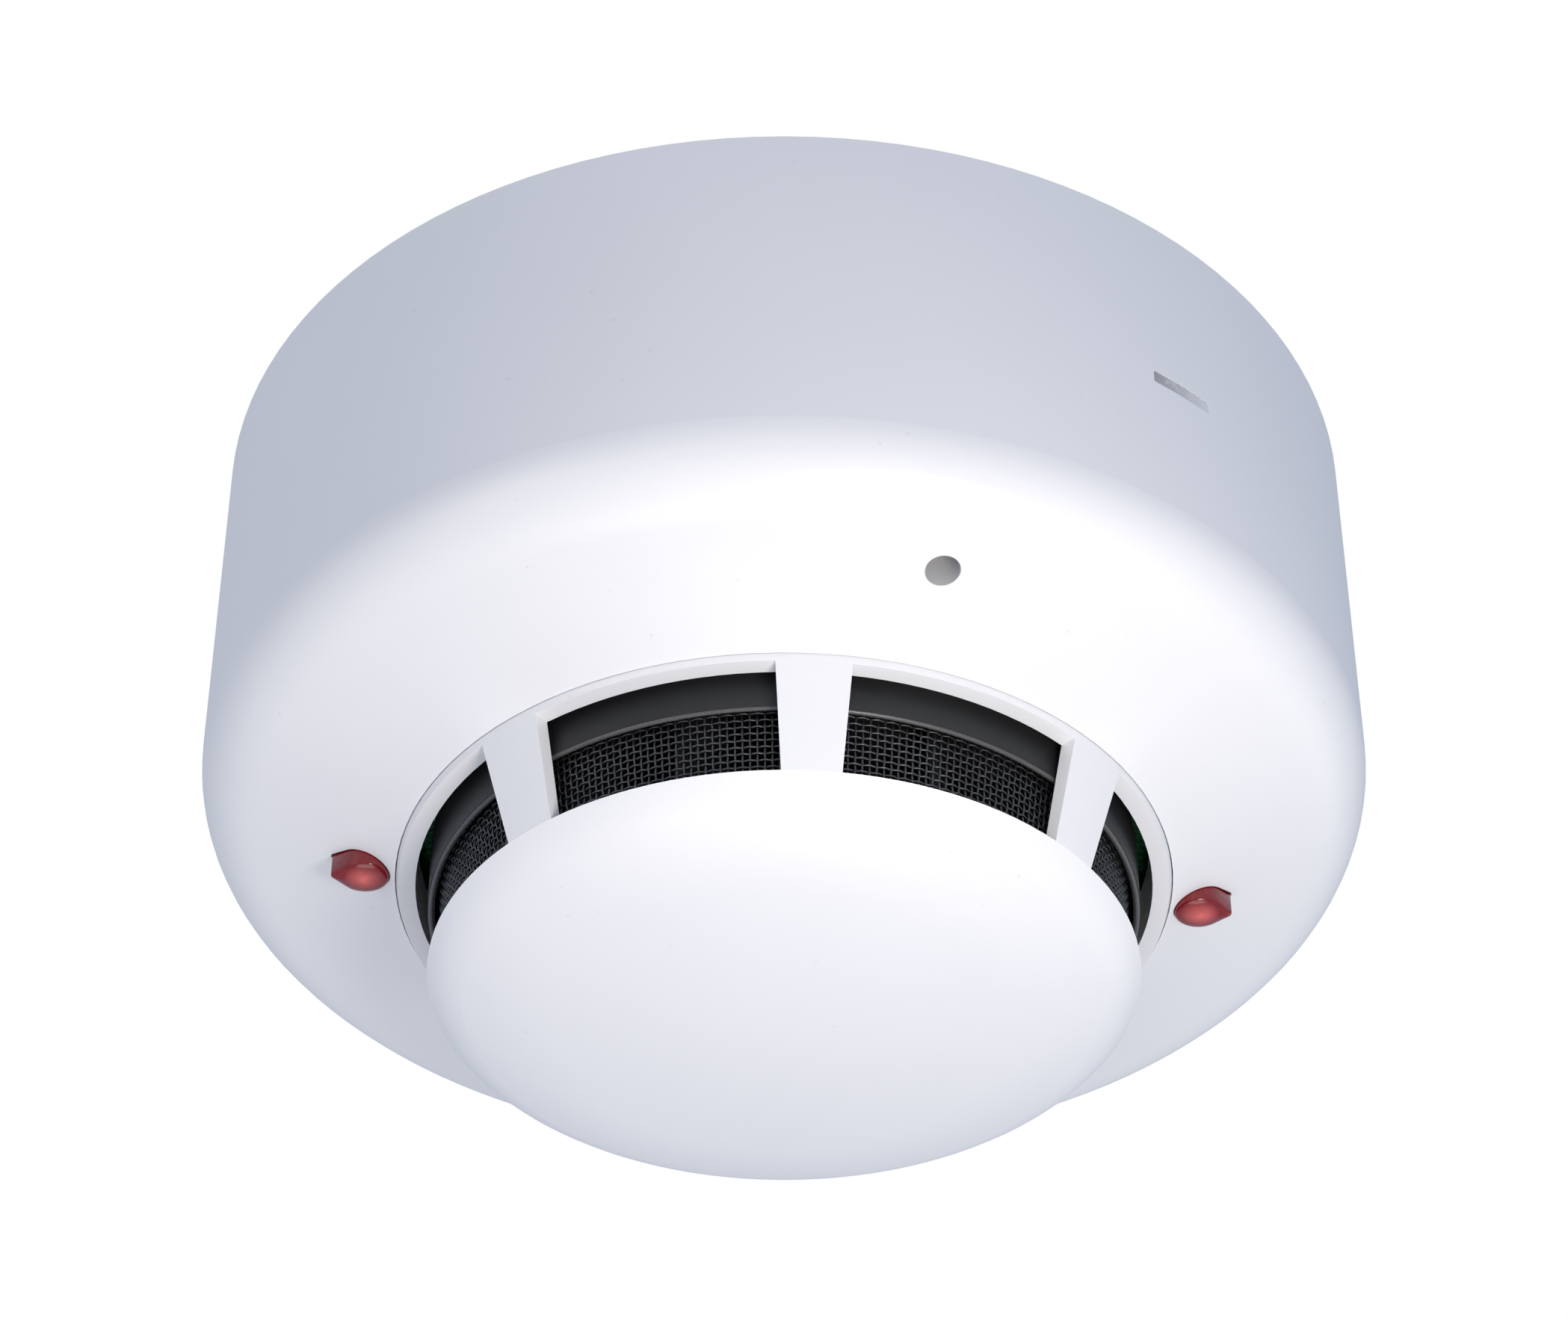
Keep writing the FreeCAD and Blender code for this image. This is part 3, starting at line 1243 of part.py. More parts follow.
def build_reed_switch():
    """A glass reed switch above the board, closed by the installer's test magnet."""
    body = new_body("reed_switch")
    plane = next(f for f in body.Origin.OriginFeatures if f.Role == "XZ_Plane")
    spans = ((S.reed_radius, S.reed_half_length), (S.reed_lead_radius, S.reed_lead_reach))
    for radius, reach in spans:
        sketch = body.newObject("Sketcher::SketchObject", "Sketch")
        sketch.AttachmentSupport = [(plane, "")]
        sketch.MapMode = "FlatFace"
        bind(sketch, "AttachmentOffset.Base.z", -reach)
        draw_circle(sketch, S.reed_x, S.reed_lift - S.board_top, radius)
        pad(body, sketch, 2 * reach)
    half = S.reed_lead_radius
    for direction in (-1, 1):
        middle = direction * (S.reed_lead_reach - half)
        foot = (S.reed_x - half, S.reed_x + half, middle - half, middle + half)
        add_prism(body, draw_box, S.board_top - S.reed_lift, S.board_top, *foot)
    return keep(body)


def build_indicator(side, direction):
    """An indicator diode on the board and the red lens that carries its light out."""
    diode = new_body(f"led_{side}", direction)
    board_foot = S.board_top + S.board_thickness
    dome_foot, rim_foot = board_foot + S.led_height, board_foot + S.led_foot_height
    rim_radius = S.led_radius + S.led_foot_margin
    add_prism(diode, draw_circle, board_foot, dome_foot, S.led_circle, 0, S.led_radius)
    add_prism(diode, draw_circle, board_foot, rim_foot, S.led_circle, 0, rim_radius)
    keep(diode)
    lens = new_body(f"led_lens_{side}", direction)
    flange_foot = S.lens_top + S.lens_flange_thickness
    flange_centre = S.lens_circle + S.lens_flange_offset
    add_prism(lens, draw_circle, S.lens_top, flange_foot, flange_centre, 0, S.lens_flange)
    add_prism(lens, draw_teardrop, S.lens_top + S.weld_depth, S.lens_foot, 0)
    keep(lens)


# ---------------------------------------------------------------- the whole detector


def build_detector():
    build_mounting_base()
    screws = []
    for number, direction in enumerate(TERMINAL_ANGLES, start=1):
        build_base_contact(number, direction)
        build_clamp_plate(number, direction)
        build_head_contact(number, direction)
        screws.append(build_terminal_screw(number, direction))
    group("terminal_screws", screws)
    build_rear_housing()
    housing_screws = []
    for number, direction in enumerate(CLAMP_ANGLES, start=1):
        housing_screws.append(build_housing_screw(number, direction))
    group("housing_screws", housing_screws)
    build_lock_insert()
    build_lock_screw()
    build_outer_cover()
    build_sensor_cage()
    build_chamber_base()
    build_chamber_lid()
    build_insect_screen()
    build_optic("ir_emitter", S.emitter_angle, True)
    build_optic("photodiode", S.receiver_angle, False)
    build_thermistor()
    build_board()
    build_components()
    for side, direction in INDICATORS:
        build_indicator(side, direction)
    doc.recompute()


def check_document():
    """Stop if any object failed or any piece has no valid shape."""
    for thing in doc.Objects:
        if {"Invalid", "Error"} & set(thing.State):
            raise RuntimeError(f"{thing.Label} ({thing.TypeId}) failed: {thing.State}")
    for piece in parts:
        if piece.Shape.isNull() or not piece.Shape.isValid():
            raise RuntimeError(f"{piece.Label} has no valid shape")


def write_parts():
    os.makedirs("parts", exist_ok=True)
    for piece in parts:
        piece.Shape.exportStep(os.path.join("parts", f"{piece.Label}.step"))
    print(f"{len(parts)} pieces written")


build_detector()
check_document()
write_parts()
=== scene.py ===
import math

import bmesh
import bpy
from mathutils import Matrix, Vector


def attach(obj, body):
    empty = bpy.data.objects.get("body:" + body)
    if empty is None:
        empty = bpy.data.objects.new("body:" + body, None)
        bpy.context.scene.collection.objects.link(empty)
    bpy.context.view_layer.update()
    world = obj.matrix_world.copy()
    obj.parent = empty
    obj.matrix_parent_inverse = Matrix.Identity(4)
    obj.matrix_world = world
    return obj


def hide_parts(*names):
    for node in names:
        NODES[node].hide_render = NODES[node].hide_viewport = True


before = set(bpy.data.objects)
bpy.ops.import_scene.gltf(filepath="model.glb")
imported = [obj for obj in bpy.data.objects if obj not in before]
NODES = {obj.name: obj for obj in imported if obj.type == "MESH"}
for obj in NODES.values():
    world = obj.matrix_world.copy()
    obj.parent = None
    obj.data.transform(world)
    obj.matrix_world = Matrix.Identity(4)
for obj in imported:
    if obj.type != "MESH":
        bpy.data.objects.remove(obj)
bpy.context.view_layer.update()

MM = 0.001

# The camera looks up at the ceiling. Angles are in degrees, the lens and sensor in millimetres.
CAMERA_TURN = 4.2
CAMERA_TILT = 38.684
CAMERA_DISTANCE = 296.965 * MM
CAMERA_DROP = 252.841 * MM
CAMERA_SENSOR = 36.0
CAMERA_LENS = 98.4
CAMERA_CLIP = 0.01

# The floor and the point that every lamp faces, in metres.
FLOOR_DROP = 0.9
FLOOR_HALF = 6.0
LAMP_TARGET = (0, 0, -0.03)

# The soft light all round, the floor's own colour and how the floor looks to the camera.
SOFT_COLOUR, SOFT_STRENGTH = (0.762, 0.834, 1.0), 0.625
FLOOR_COLOUR, FLOOR_ROUGHNESS = (0.86, 0.86, 0.87), 0.8
FLOOR_SEEN = (0.74, 0.75, 0.78)

# Sizes and places of the new pieces, in millimetres and degrees.
SCREEN_TOP, SCREEN_FOOT = -42.8, -50.0
SCREEN_TOP_RADIUS, SCREEN_FOOT_RADIUS = 29.07, 28.0
SCREEN_WIRES = 300
SCREEN_HOOPS = 12
WEAVE = 0.09
WIRE_RADIUS = 0.10
WIRE_SIDES = 5
BEAD_RADIUS, BEAD_HEIGHT, BEAD_SECTION = 29.8, -43.85, 0.28
BEAD_STEPS = 180
LENS_CIRCLE, LENS_RADIUS = 35.6, 2.1
LENS_TAIL, LENS_TAIL_RADIUS = 2.4, 0.4
LENS_TOP, LENS_SHOULDER, LENS_CROWN = -36.2, -40.72, -41.2
LENS_MIDDLE = 0.3
LENS_ROUND_STEPS, LENS_TAIL_STEPS, LENS_DOME_STEPS = 40, 12, 9
COVER_RADIUS = 50.0
MARK_ANGLE, MARK_LEVEL = 306.3, -17.6
MARK_LENGTH, MARK_HEIGHT, MARK_EDGE = 7.2, 1.2, 0.04
MARK_FLOOR, MARK_FACE = 49.74, 49.96
MARK_STEPS = 16

# Centre and radius of the hole that leads to the locking screw, in millimetres. The cover's colour is
# painted darker down this hole: painted shade.
KEY_HOLE = (9.50, -40.35, 1.4)

# Pitch and height of the marks on each surface, in millimetres.
FLOW_PITCH, SPECK_PITCH, RUBBED_PITCH = 22.0, 2.6, 9.0
GRAIN_PITCH, GRAIN_HEIGHT = 0.18, 0.004
SCRATCH_PITCH, TIN_PITCH, SCRATCH_HEIGHT = 0.3, 0.6, 0.002
TARNISH_PITCH = 3.5
LENS_RIPPLE_PITCH, PAD_PITCH = 0.9, 1.9

# Units of the circuit board's track pattern in a metre.
TRACK_SCALE = 260.0

# Refractive indices, and the colour of the cover and the sensor cage.
PLASTIC_IOR, ACRYLIC_IOR = 1.5, 1.49
WHITE = (0.86, 0.87, 0.89)


# ---------------------------------------------------------------- stage, light and camera


def make_camera():
    turn = math.radians(CAMERA_TURN)
    data = bpy.data.cameras.new("camera")
    data.sensor_width = CAMERA_SENSOR
    data.lens = CAMERA_LENS
    data.clip_start = CAMERA_CLIP
    camera = bpy.data.objects.new("camera", data)
    camera.location = (
        -CAMERA_DISTANCE * math.sin(turn),
        -CAMERA_DISTANCE * math.cos(turn),
        -CAMERA_DROP,
    )
    camera.rotation_euler = (math.radians(90 + CAMERA_TILT), 0, -turn)
    bpy.context.scene.collection.objects.link(camera)
    bpy.context.scene.camera = camera


def area_light(name, place, size, power, colour):
    """A round lamp at place that faces the object, in metres and watts."""
    data = bpy.data.lights.new(name, "AREA")
    data.shape = "DISK"
    data.size = size
    data.energy = power
    data.color = colour
    lamp = bpy.data.objects.new(name, data)
    lamp.location = place
    away = Vector(place) - Vector(LAMP_TARGET)
    lamp.rotation_euler = away.to_track_quat("Z", "Y").to_euler()
    lamp.visible_camera = False
    bpy.context.scene.collection.objects.link(lamp)


def make_lights():
    area_light("front_light", (0.036, -0.108, -0.137), 0.05, 0.095, (1.0, 0.92, 0.84))
    area_light("left_light", (-0.45, -0.38, -0.12), 0.30, 0.348, (1.0, 0.88, 0.70))
    area_light("rear_light", (0.45, 0.30, -0.28), 0.30, 0.182, (0.93, 1.0, 0.79))
    area_light("lower_light", (0.0, 0.0, -0.60), 0.40, 0.70, (1.0, 0.92, 0.83))
    area_light("ceiling_light", (0.0, 0.25, 0.70), 0.40, 1.6, (1.0, 0.97, 0.92))


def camera_sees(tree, lit, seen, output):
    """seen shows where the camera looks straight at it; lit is what every other ray meets."""
    path = tree.nodes.new("ShaderNodeLightPath")
    mix = tree.nodes.new("ShaderNodeMixShader")
    tree.links.new(path.outputs["Is Camera Ray"], mix.inputs["Fac"])
    tree.links.new(lit.outputs[0], mix.inputs[1])
    tree.links.new(seen.outputs[0], mix.inputs[2])
    tree.links.new(mix.outputs[0], output.inputs["Surface"])


def make_world():
    """White behind the object, and a softer lavender grey for the light that falls on it."""
    world = bpy.data.worlds.new("studio")
    bpy.context.scene.world = world
    world.use_nodes = True
    tree = world.node_tree
    tree.nodes.clear()
    output = tree.nodes.new("ShaderNodeOutputWorld")
    soft = tree.nodes.new("ShaderNodeBackground")
    soft.inputs["Color"].default_value = (*SOFT_COLOUR, 1)
    soft.inputs["Strength"].default_value = SOFT_STRENGTH
    white = tree.nodes.new("ShaderNodeBackground")
    white.inputs["Color"].default_value = (1, 1, 1, 1)
    white.inputs["Strength"].default_value = 1.0
    camera_sees(tree, soft, white, output)


def make_floor():
    """A wide floor that looks evenly pale and sends back the soft light that falls on it."""
    signs = ((-1, -1), (1, -1), (1, 1), (-1, 1))
    corners = [(x * FLOOR_HALF, y * FLOOR_HALF, -FLOOR_DROP) for x, y in signs]
    mesh = bpy.data.meshes.new("floor")
    mesh.from_pydata(corners, [], [(0, 1, 2, 3)])
    floor = bpy.data.objects.new("floor", mesh)
    bpy.context.scene.collection.objects.link(floor)
    material, tree, shader = new_material("pale_floor")
    shader.inputs["Base Color"].default_value = (*FLOOR_COLOUR, 1)
    shader.inputs["Roughness"].default_value = FLOOR_ROUGHNESS
    pale = tree.nodes.new("ShaderNodeEmission")
    pale.inputs["Color"].default_value = (*FLOOR_SEEN, 1)
    camera_sees(tree, shader, pale, tree.nodes["Material Output"])
    mesh.materials.append(material)


# ---------------------------------------------------------------- materials


def new_material(name):
    material = bpy.data.materials.new(name)
    material.use_nodes = True
    tree = material.node_tree
    return material, tree, tree.nodes["Principled BSDF"]


def add_node(tree, kind, **settings):
    node = tree.nodes.new(kind)
    for name, value in settings.items():
        setattr(node, name, value)
    return node


def place_on_object(tree):
    return add_node(tree, "ShaderNodeTexCoord").outputs["Object"]


def faded(colour, share):
    return tuple(value * share for value in colour)


def noise(tree, pitch_mm, detail=3.0, roughness=0.5):
    """Noise in object space whose lumps are about pitch_mm across."""
    texture = add_node(tree, "ShaderNodeTexNoise")
    texture.inputs["Scale"].default_value = 1000.0 / pitch_mm
    texture.inputs["Detail"].default_value = detail
    texture.inputs["Roughness"].default_value = roughness
    tree.links.new(place_on_object(tree), texture.inputs["Vector"])
    return texture.outputs["Fac"]


def ramp(tree, source, low, high, low_value, high_value):
    """Map source from low..high onto two grey values."""
    node = add_node(tree, "ShaderNodeMapRange")
    node.inputs["From Min"].default_value = low
    node.inputs["From Max"].default_value = high
    node.inputs["To Min"].default_value = low_value
    node.inputs["To Max"].default_value = high_value
    tree.links.new(source, node.inputs["Value"])
    return node.outputs["Result"]


def two_colours(tree, factor, first, second):
    mix = add_node(tree, "ShaderNodeMix", data_type="RGBA")
    mix.inputs["A"].default_value = (*first, 1)
    mix.inputs["B"].default_value = (*second, 1)
    tree.links.new(factor, mix.inputs["Factor"])
    return mix.outputs["Result"]


def mix_towards(tree, factor, source, colour):
    """source, moved towards a fixed colour where factor is 1."""
    mix = add_node(tree, "ShaderNodeMix", data_type="RGBA")
    mix.inputs["B"].default_value = (*colour, 1)
    tree.links.new(source, mix.inputs["A"])
    tree.links.new(factor, mix.inputs["Factor"])
    return mix.outputs["Result"]


def bump(tree, shader, height, distance_mm, strength):
    node = add_node(tree, "ShaderNodeBump")
    node.inputs["Distance"].default_value = distance_mm * MM
    node.inputs["Strength"].default_value = strength
    tree.links.new(height, node.inputs["Height"])
    tree.links.new(node.outputs["Normal"], shader.inputs["Normal"])


def multiply(tree, first, second):
    node = add_node(tree, "ShaderNodeMath", operation="MULTIPLY")
    tree.links.new(first, node.inputs[0])
    tree.links.new(second, node.inputs[1])
    return node.outputs[0]


def object_vector(tree, operation, source, value):
    """One vector operation between source and a fixed vector."""
    node = add_node(tree, "ShaderNodeVectorMath", operation=operation)
    node.inputs[1].default_value = value
    tree.links.new(source, node.inputs[0])
    return node


def from_axis(tree, x_mm, y_mm, near_mm, far_mm):
    """1 nearer than near_mm to the upright axis through (x, y), falling to 0 at far_mm."""
    flat = object_vector(tree, "MULTIPLY", place_on_object(tree), (1, 1, 0))
    offset = object_vector(tree, "SUBTRACT", flat.outputs["Vector"], (x_mm * MM, y_mm * MM, 0))
    length = add_node(tree, "ShaderNodeVectorMath", operation="LENGTH")
    tree.links.new(offset.outputs["Vector"], length.inputs[0])
    return ramp(tree, length.outputs["Value"], near_mm * MM, far_mm * MM, 1, 0)


def specks(tree, pitch_mm, size):
    """1 on small scattered specks, 0 elsewhere; size is their share of the pitch."""
    cells = add_node(tree, "ShaderNodeTexVoronoi")
    cells.inputs["Scale"].default_value = 1000.0 / pitch_mm
    cells.inputs["Randomness"].default_value = 1.0
    tree.links.new(place_on_object(tree), cells.inputs["Vector"])
    dots = ramp(tree, cells.outputs["Distance"], size * 0.6, size, 1, 0)
    scattered = ramp(tree, noise(tree, pitch_mm * 4, 1.0), 0.52, 0.60, 0, 1)
    return multiply(tree, dots, scattered)


def moulded_plastic(name, colour, shade, roughness, painted_shade_holes=()):
    """Moulded plastic: flow marks, dust specks, rubbed patches and a fine spark-eroded grain.

    shade is how dark the flow marks are. painted_shade_holes gives (x, y, radius) of deep round
    openings, whose colour darkens down them: painted shade."""
    material, tree, shader = new_material(name)
    flow = ramp(tree, noise(tree, FLOW_PITCH, 2.0), 0.35, 0.65, 0.0, 1.0)
    tint = two_colours(tree, flow, colour, faded(colour, shade))
    tint = mix_towards(tree, specks(tree, SPECK_PITCH, 0.07), tint, faded(colour, 0.90))
    for x, y, radius in painted_shade_holes:
        # Painted shade: the colour darkens down each deep hole.
        painted_hole_shade = from_axis(tree, x, y, radius - 0.08, radius + 0.10)
        tint = mix_towards(tree, painted_hole_shade, tint, faded(colour, 0.42))
    tree.links.new(tint, shader.inputs["Base Color"])
    grain = noise(tree, GRAIN_PITCH, 4.0, 0.6)
    fine = ramp(tree, grain, 0.3, 0.7, roughness - 0.05, roughness + 0.06)
    rubbed = ramp(tree, noise(tree, RUBBED_PITCH, 3.0), 0.40, 0.70, 1.0, 0.86)
    tree.links.new(multiply(tree, fine, rubbed), shader.inputs["Roughness"])
    bump(tree, shader, grain, GRAIN_HEIGHT, 0.6)
    shader.inputs["IOR"].default_value = PLASTIC_IOR
    return material


def metal(name, colour, roughness, brushed_mm=SCRATCH_PITCH):
    """Rolled or plated metal: fine scratches and patches of tarnish."""
    material, tree, shader = new_material(name)
    scratches = noise(tree, brushed_mm, 6.0, 0.7)
    tint = two_colours(tree, ramp(tree, scratches, 0.3, 0.7, 0, 1), colour, faded(colour, 0.8))
    tarnish = ramp(tree, noise(tree, TARNISH_PITCH, 4.0), 0.50, 0.72, 0, 0.7)
    tint = mix_towards(tree, tarnish, tint, faded(colour, 0.55))
    tree.links.new(tint, shader.inputs["Base Color"])
    worn = ramp(tree, scratches, 0.3, 0.7, roughness - 0.06, roughness + 0.12)
    tree.links.new(worn, shader.inputs["Roughness"])
    shader.inputs["Metallic"].default_value = 1.0
    bump(tree, shader, scratches, SCRATCH_HEIGHT, 0.5)
    return material


def lens_material():
    """Clear red acrylic: a painted highlight makes it pale over the diode, deep red towards its rim,
    faint moulding ripples.
    """
    material, tree, shader = new_material("lens_red")
    ripple = noise(tree, LENS_RIPPLE_PITCH, 2.0)
    tint = two_colours(tree, ripple, (0.30, 0.012, 0.016), (0.18, 0.006, 0.010))
    uneven = ramp(tree, ripple, 0.3, 0.7, 0.7, 1.0)
    # Painted highlight: the middle of each lens is mixed towards pale red.
    for side in (-1, 1):
        lit = multiply(tree, from_axis(tree, side * LENS_CIRCLE, -0.2, 0.2, 1.7), uneven)
        tint = mix_towards(tree, lit, tint, (0.97, 0.19, 0.17))
    tree.links.new(tint, shader.inputs["Base Color"])
    tree.links.new(ramp(tree, ripple, 0.3, 0.7, 0.08, 0.16), shader.inputs["Roughness"])
    shader.inputs["Transmission Weight"].default_value = 0.15
    shader.inputs["IOR"].default_value = ACRYLIC_IOR
    shader.inputs["Coat Weight"].default_value = 0.25
    bump(tree, shader, ripple, 0.03, 0.4)
    return material


def ink_material():
    """Slate grey mark, darkest at one end and paler towards its other end."""
    material, tree, shader = new_material("mark_grey")
    turn = math.radians(MARK_ANGLE)
    sideways = (-math.sin(turn), math.cos(turn), 0)
    along = object_vector(tree, "DOT_PRODUCT", place_on_object(tree), sideways)
    half = MARK_LENGTH / 2 * MM
    fade = ramp(tree, along.outputs["Value"], -half, half, 0, 1)
    tint = two_colours(tree, fade, (0.30, 0.31, 0.33), (0.80, 0.81, 0.83))
    worn = ramp(tree, noise(tree, 0.7, 4.0, 0.7), 0.48, 0.62, 0, 0.5)
    tint = mix_towards(tree, worn, tint, (0.72, 0.73, 0.75))
    tree.links.new(tint, shader.inputs["Base Color"])
    tree.links.new(ramp(tree, noise(tree, 0.2, 3.0), 0.3, 0.7, 0.45, 0.6), shader.inputs["Roughness"])
    bump(tree, shader, noise(tree, 0.25, 3.0), 0.01, 0.5)
    return material


def board_material():
    """Solder mask over copper tracks, with tinned pads."""
    material, tree, shader = new_material("board_green")
    bricks = add_node(tree, "ShaderNodeTexBrick")
    bricks.inputs["Scale"].default_value = TRACK_SCALE
    bricks.inputs["Mortar Size"].default_value = 0.05
    tree.links.new(place_on_object(tree), bricks.inputs["Vector"])
    tint = two_colours(tree, bricks.outputs["Fac"], (0.010, 0.085, 0.035), (0.020, 0.150, 0.060))
    pads = specks(tree, PAD_PITCH, 0.22)
    tint = mix_towards(tree, pads, tint, (0.62, 0.62, 0.60))
    tree.links.new(tint, shader.inputs["Base Color"])
    tree.links.new(pads, shader.inputs["Metallic"])
    tree.links.new(ramp(tree, noise(tree, 0.8), 0.3, 0.7, 0.22, 0.36), shader.inputs["Roughness"])
    bump(tree, shader, bricks.outputs["Fac"], 0.03, 0.5)
    return material


# ---------------------------------------------------------------- new pieces


def finish_piece(builder, name, material, body, smooth=True):
    """Turn a bmesh into a piece that rides on a body."""
    bmesh.ops.recalc_face_normals(builder, faces=builder.faces)
    for face in builder.faces:
        face.smooth = smooth
    mesh = bpy.data.meshes.new(name)
    builder.to_mesh(mesh)
    builder.free()
    mesh.materials.append(material)
    piece = bpy.data.objects.new(name, mesh)
    bpy.context.scene.collection.objects.link(piece)
    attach(piece, body)
    return piece


def bridge(builder, loops):
    """Quads between each closed loop of vertices and the next."""
    for first, second in zip(loops, loops[1:]):
        count = len(first)
        for i in range(count):
            j = (i + 1) % count
            builder.faces.new((first[i], first[j], second[j], second[i]))


def add_tube(builder, centres, across, along, radius_mm, closed):
    """A thin tube through the centres; across and along are its section's axes at each centre."""
    loops = []
    for centre, side, up in zip(centres, across, along):
        loop = []
        for k in range(WIRE_SIDES):
            turn = 2 * math.pi * k / WIRE_SIDES
            point = centre + (side * math.cos(turn) + up * math.sin(turn)) * (radius_mm * MM)
            loop.append(builder.verts.new(point))
        loops.append(loop)
    if closed:
        bridge(builder, loops + [loops[0]])
    else:
        bridge(builder, loops)
        builder.faces.new(loops[0])
        builder.faces.new(loops[-1])


def round_place(radius_mm, angle, height_mm):
    return Vector((radius_mm * math.cos(angle), radius_mm * math.sin(angle), height_mm)) * MM


def outward_at(angle):
    return Vector((math.cos(angle), math.sin(angle), 0))


def screen_radius(height_mm):
    """Middle radius of the leaning screen at a height."""
    share = (SCREEN_TOP - height_mm) / (SCREEN_TOP - SCREEN_FOOT)
    return SCREEN_TOP_RADIUS + (SCREEN_FOOT_RADIUS - SCREEN_TOP_RADIUS) * share


def add_hoop(builder, centres, angles, radius_mm):
    """A closed tube round the upright axis."""
    outwards = [outward_at(angle) for angle in angles]
    upwards = [Vector((0, 0, 1))] * len(angles)
    add_tube(builder, centres, outwards, upwards, radius_mm, True)


def make_insect_screen():
    """Woven wire: upright wires and hoops pass over and under each other."""
    builder = bmesh.new()
    pitch = (SCREEN_TOP - SCREEN_FOOT) / SCREEN_HOOPS
    for wire in range(SCREEN_WIRES):
        angle = 2 * math.pi * wire / SCREEN_WIRES
        sideways = Vector((-math.sin(angle), math.cos(angle), 0))
        centres = []
        for step in range(2 * SCREEN_HOOPS + 1):
            height = SCREEN_TOP - step * pitch / 2
            weave = WEAVE * math.cos(math.pi * (step / 2 - 0.5 + wire))
            centres.append(round_place(screen_radius(height) + weave, angle, height))
        count = len(centres)
        outwards = [outward_at(angle)] * count
        add_tube(builder, centres, outwards, [sideways] * count, WIRE_RADIUS, False)
    for hoop in range(SCREEN_HOOPS):
        height = SCREEN_TOP - (hoop + 0.5) * pitch
        angles = [math.pi * step / SCREEN_WIRES for step in range(2 * SCREEN_WIRES)]
        centres = []
        for step, angle in enumerate(angles):
            weave = -WEAVE * math.cos(math.pi * (step / 2 + hoop))
            centres.append(round_place(screen_radius(height) + weave, angle, height))
        add_hoop(builder, centres, angles, WIRE_RADIUS)
    wire_black = metal("screen_black", (0.13, 0.135, 0.14), 0.42)
    screen = finish_piece(builder, "woven_screen", wire_black, "head")
    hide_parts("insect_screen")


def make_rim_bead(material):
    """Rounded bead along the lower edge of the chamber's rim. Its black is lighter than the
    chamber's, a painted highlight on top of the real reflections on the bead.
    """
    builder = bmesh.new()
    angles = [2 * math.pi * step / BEAD_STEPS for step in range(BEAD_STEPS)]
    centres = [round_place(BEAD_RADIUS, angle, BEAD_HEIGHT) for angle in angles]
    add_hoop(builder, centres, angles, BEAD_SECTION)
    bead = finish_piece(builder, "chamber_rim_bead", material, "head")


def teardrop():
    """Outline of a lens round its middle: a round end towards the axis and a small tail outside."""
    lean = math.acos((LENS_RADIUS - LENS_TAIL_RADIUS) / LENS_TAIL)
    points = []
    for k in range(LENS_ROUND_STEPS + 1):
        turn = lean + (2 * math.pi - 2 * lean) * k / LENS_ROUND_STEPS
        points.append((LENS_RADIUS * math.cos(turn), LENS_RADIUS * math.sin(turn)))
    for k in range(1, LENS_TAIL_STEPS):
        turn = -lean + 2 * lean * k / LENS_TAIL_STEPS
        x = LENS_TAIL + LENS_TAIL_RADIUS * math.cos(turn)
        points.append((x, LENS_TAIL_RADIUS * math.sin(turn)))
    return points


def make_lens(name, side, material):
    """Domed red lens that stands proud of the cover: an upright skirt, then rings up to the crown."""
    builder = bmesh.new()
    layers = [(1.0, LENS_TOP), (1.0, LENS_SHOULDER)]
    for k in range(1, LENS_DOME_STEPS):
        turn = math.pi / 2 * k / LENS_DOME_STEPS
        height = LENS_SHOULDER + (LENS_CROWN - LENS_SHOULDER) * math.sin(turn)
        layers.append((math.cos(turn), height))
    loops = []
    for size, height in layers:
        loop = []
        for x, y in teardrop():
            across = LENS_CIRCLE + LENS_MIDDLE + (x - LENS_MIDDLE) * size
            loop.append(builder.verts.new(Vector((side * across, y * size, height)) * MM))
        loops.append(loop)
    bridge(builder, loops)
    builder.faces.new(loops[0])
    crown = builder.verts.new(Vector((side * (LENS_CIRCLE + LENS_MIDDLE), 0, LENS_CROWN)) * MM)
    last = loops[-1]
    for i in range(len(last)):
        builder.faces.new((last[i], last[(i + 1) % len(last)], crown))
    lens = finish_piece(builder, f"domed_{name}", material, "head")
    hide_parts(name)


def make_mark():
    """The grey mark fills the shallow recess in the cover's side."""
    builder = bmesh.new()
    half = (MARK_LENGTH / 2 - MARK_EDGE) / COVER_RADIUS
    loops = []
    for step in range(MARK_STEPS + 1):
        angle = math.radians(MARK_ANGLE) - half + 2 * half * step / MARK_STEPS
        loop = []
        for radius, rise in ((MARK_FLOOR, -1), (MARK_FACE, -1), (MARK_FACE, 1), (MARK_FLOOR, 1)):
            height = MARK_LEVEL + rise * (MARK_HEIGHT / 2 - MARK_EDGE)
            loop.append(builder.verts.new(round_place(radius, angle, height)))
        loops.append(loop)
    bridge(builder, loops)
    builder.faces.new(loops[0])
    builder.faces.new(loops[-1])
    finish_piece(builder, "alignment_mark", ink_material(), "head", smooth=False)


# ---------------------------------------------------------------- finishes on the CAD pieces


def paint(material, *names):
    for name in names:
        mesh = NODES[name].data
        mesh.materials.clear()
        mesh.materials.append(material)


def like(*starts):
    return [name for name in NODES if name.startswith(starts)]


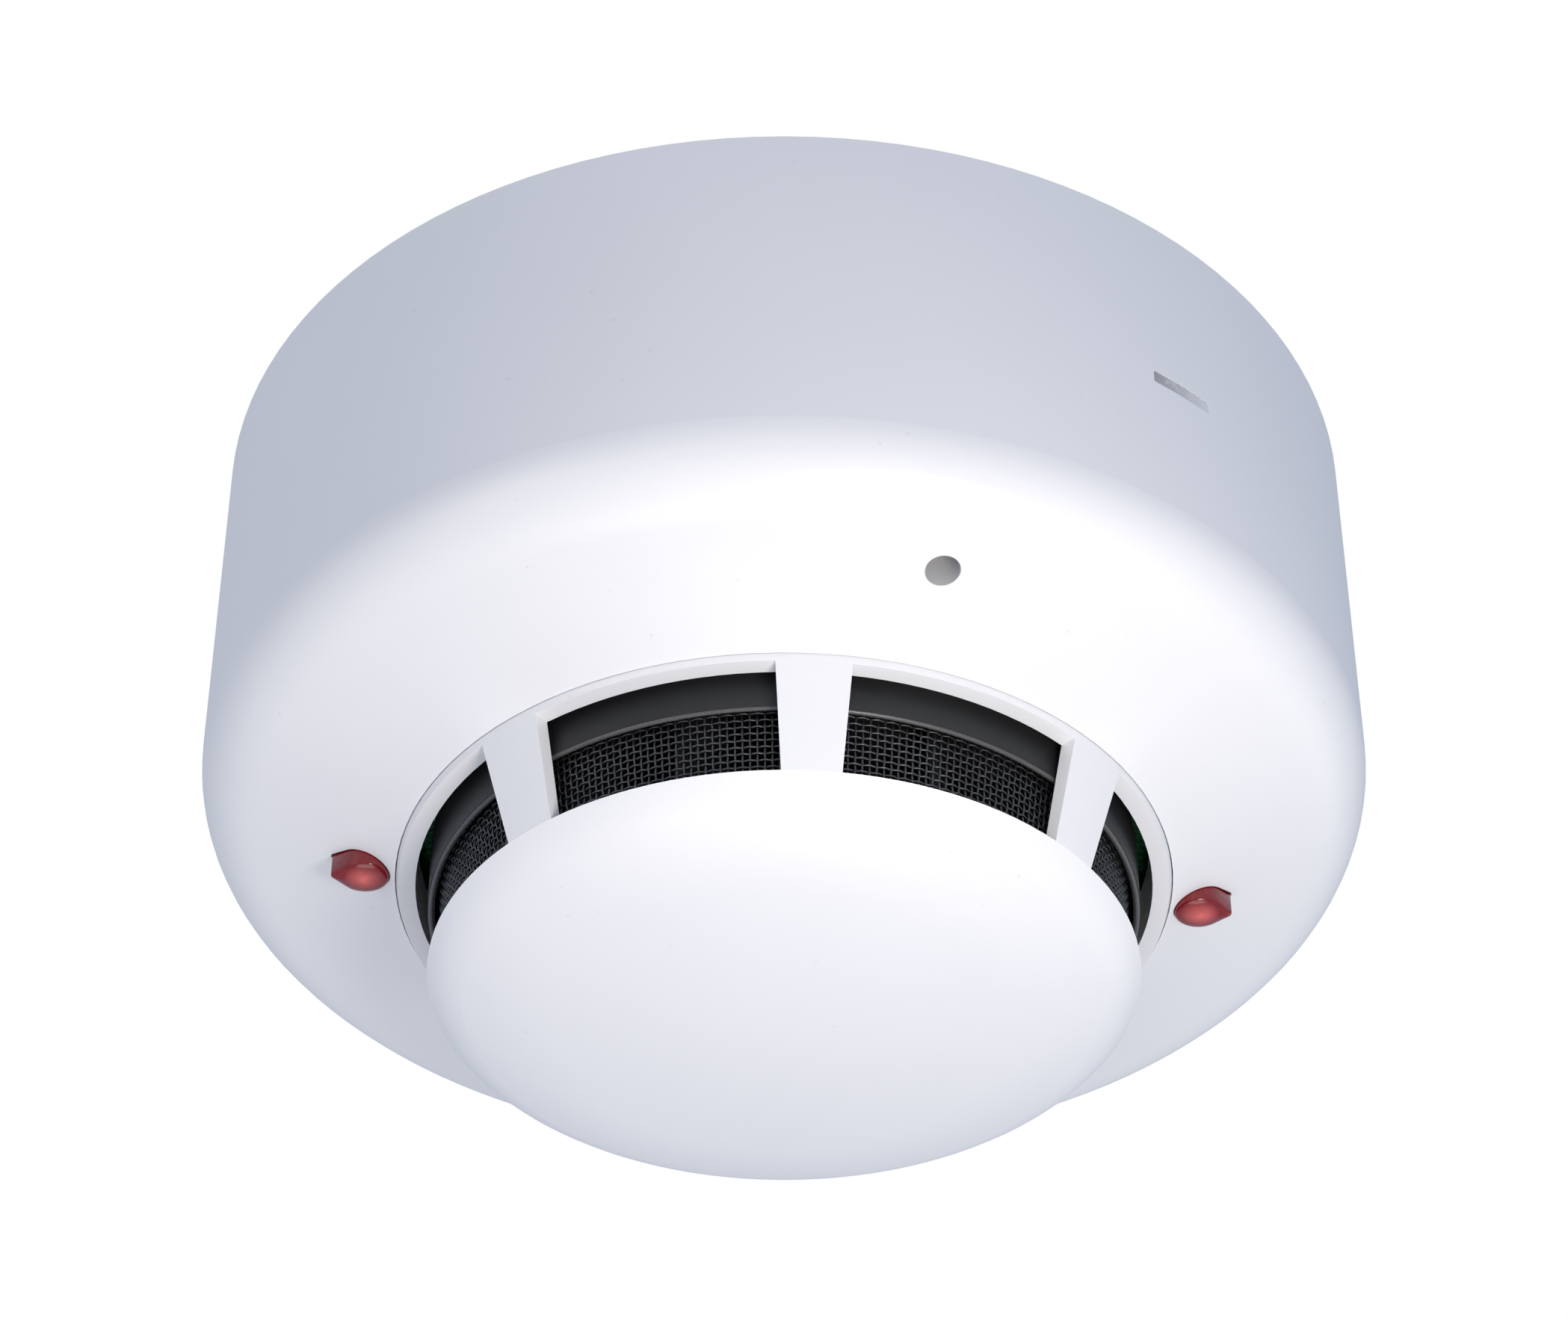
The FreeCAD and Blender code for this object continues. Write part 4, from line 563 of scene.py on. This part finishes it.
def dress_cad():
    paint(moulded_plastic("cover_white", WHITE, 0.985, 0.36, painted_shade_holes=[KEY_HOLE]), "outer_cover")
    paint(moulded_plastic("white_abs", WHITE, 0.985, 0.36), "sensor_cage")
    paint(moulded_plastic("base_abs", (0.84, 0.84, 0.84), 0.97, 0.45), "mounting_base")
    paint(moulded_plastic("housing_abs", (0.80, 0.80, 0.81), 0.97, 0.45), "rear_housing")
    black = moulded_plastic("chamber_black", (0.020, 0.021, 0.023), 0.7, 0.6)
    paint(black, "chamber_base", "chamber_lid")
    paint(metal("contact_brass", (0.72, 0.52, 0.22), 0.3), *like("base_contact", "head_contact"))
    paint(metal("insert_brass", (0.70, 0.50, 0.22), 0.35), "lock_insert")
    steel = metal("plated_steel", (0.60, 0.61, 0.62), 0.32)
    paint(steel, *like("clamp_plate"), "terminal_screws", "housing_screws")
    paint(metal("tin_plate", (0.66, 0.66, 0.64), 0.28, TIN_PITCH), "shield_can")
    paint(metal("dark_steel", (0.10, 0.10, 0.11), 0.4), "lock_screw")
    paint(board_material(), "circuit_board")
    paint(moulded_plastic("diode_red", (0.40, 0.02, 0.02), 0.9, 0.2), "led_left", "led_right")
    paint(moulded_plastic("emitter_clear", (0.20, 0.24, 0.32), 0.9, 0.15), "ir_emitter")
    paint(moulded_plastic("diode_dark", (0.02, 0.015, 0.02), 0.8, 0.2), "photodiode")
    bead = moulded_plastic("bead_epoxy", (0.04, 0.03, 0.03), 0.8, 0.25)
    paint(bead, "thermistor", "reference_thermistor")
    paint(moulded_plastic("reed_glass", (0.12, 0.22, 0.18), 0.9, 0.08), "reed_switch")
    paint(moulded_plastic("relay_case", (0.02, 0.06, 0.16), 0.9, 0.4), "relay")
    paint(moulded_plastic("capacitor_sleeve", (0.01, 0.012, 0.03), 0.8, 0.25), *like("capacitor"))
    paint(moulded_plastic("varistor_blue", (0.02, 0.05, 0.18), 0.8, 0.3), "varistor")
    chips = moulded_plastic("chip_black", (0.02, 0.02, 0.022), 0.8, 0.5)
    paint(chips, "microcontroller", "bridge_rectifier", "chip_resistors")


make_camera()
make_world()
make_lights()
make_floor()
dress_cad()
make_insect_screen()
# The bead's lighter black is a painted highlight along the rim's lower edge.
make_rim_bead(moulded_plastic("rim_black_painted_highlight", (0.10, 0.10, 0.105), 0.9, 0.3))
red = lens_material()
make_lens("led_lens_right", 1, red)
make_lens("led_lens_left", -1, red)
make_mark()
bpy.context.scene.view_settings.view_transform = "Standard"
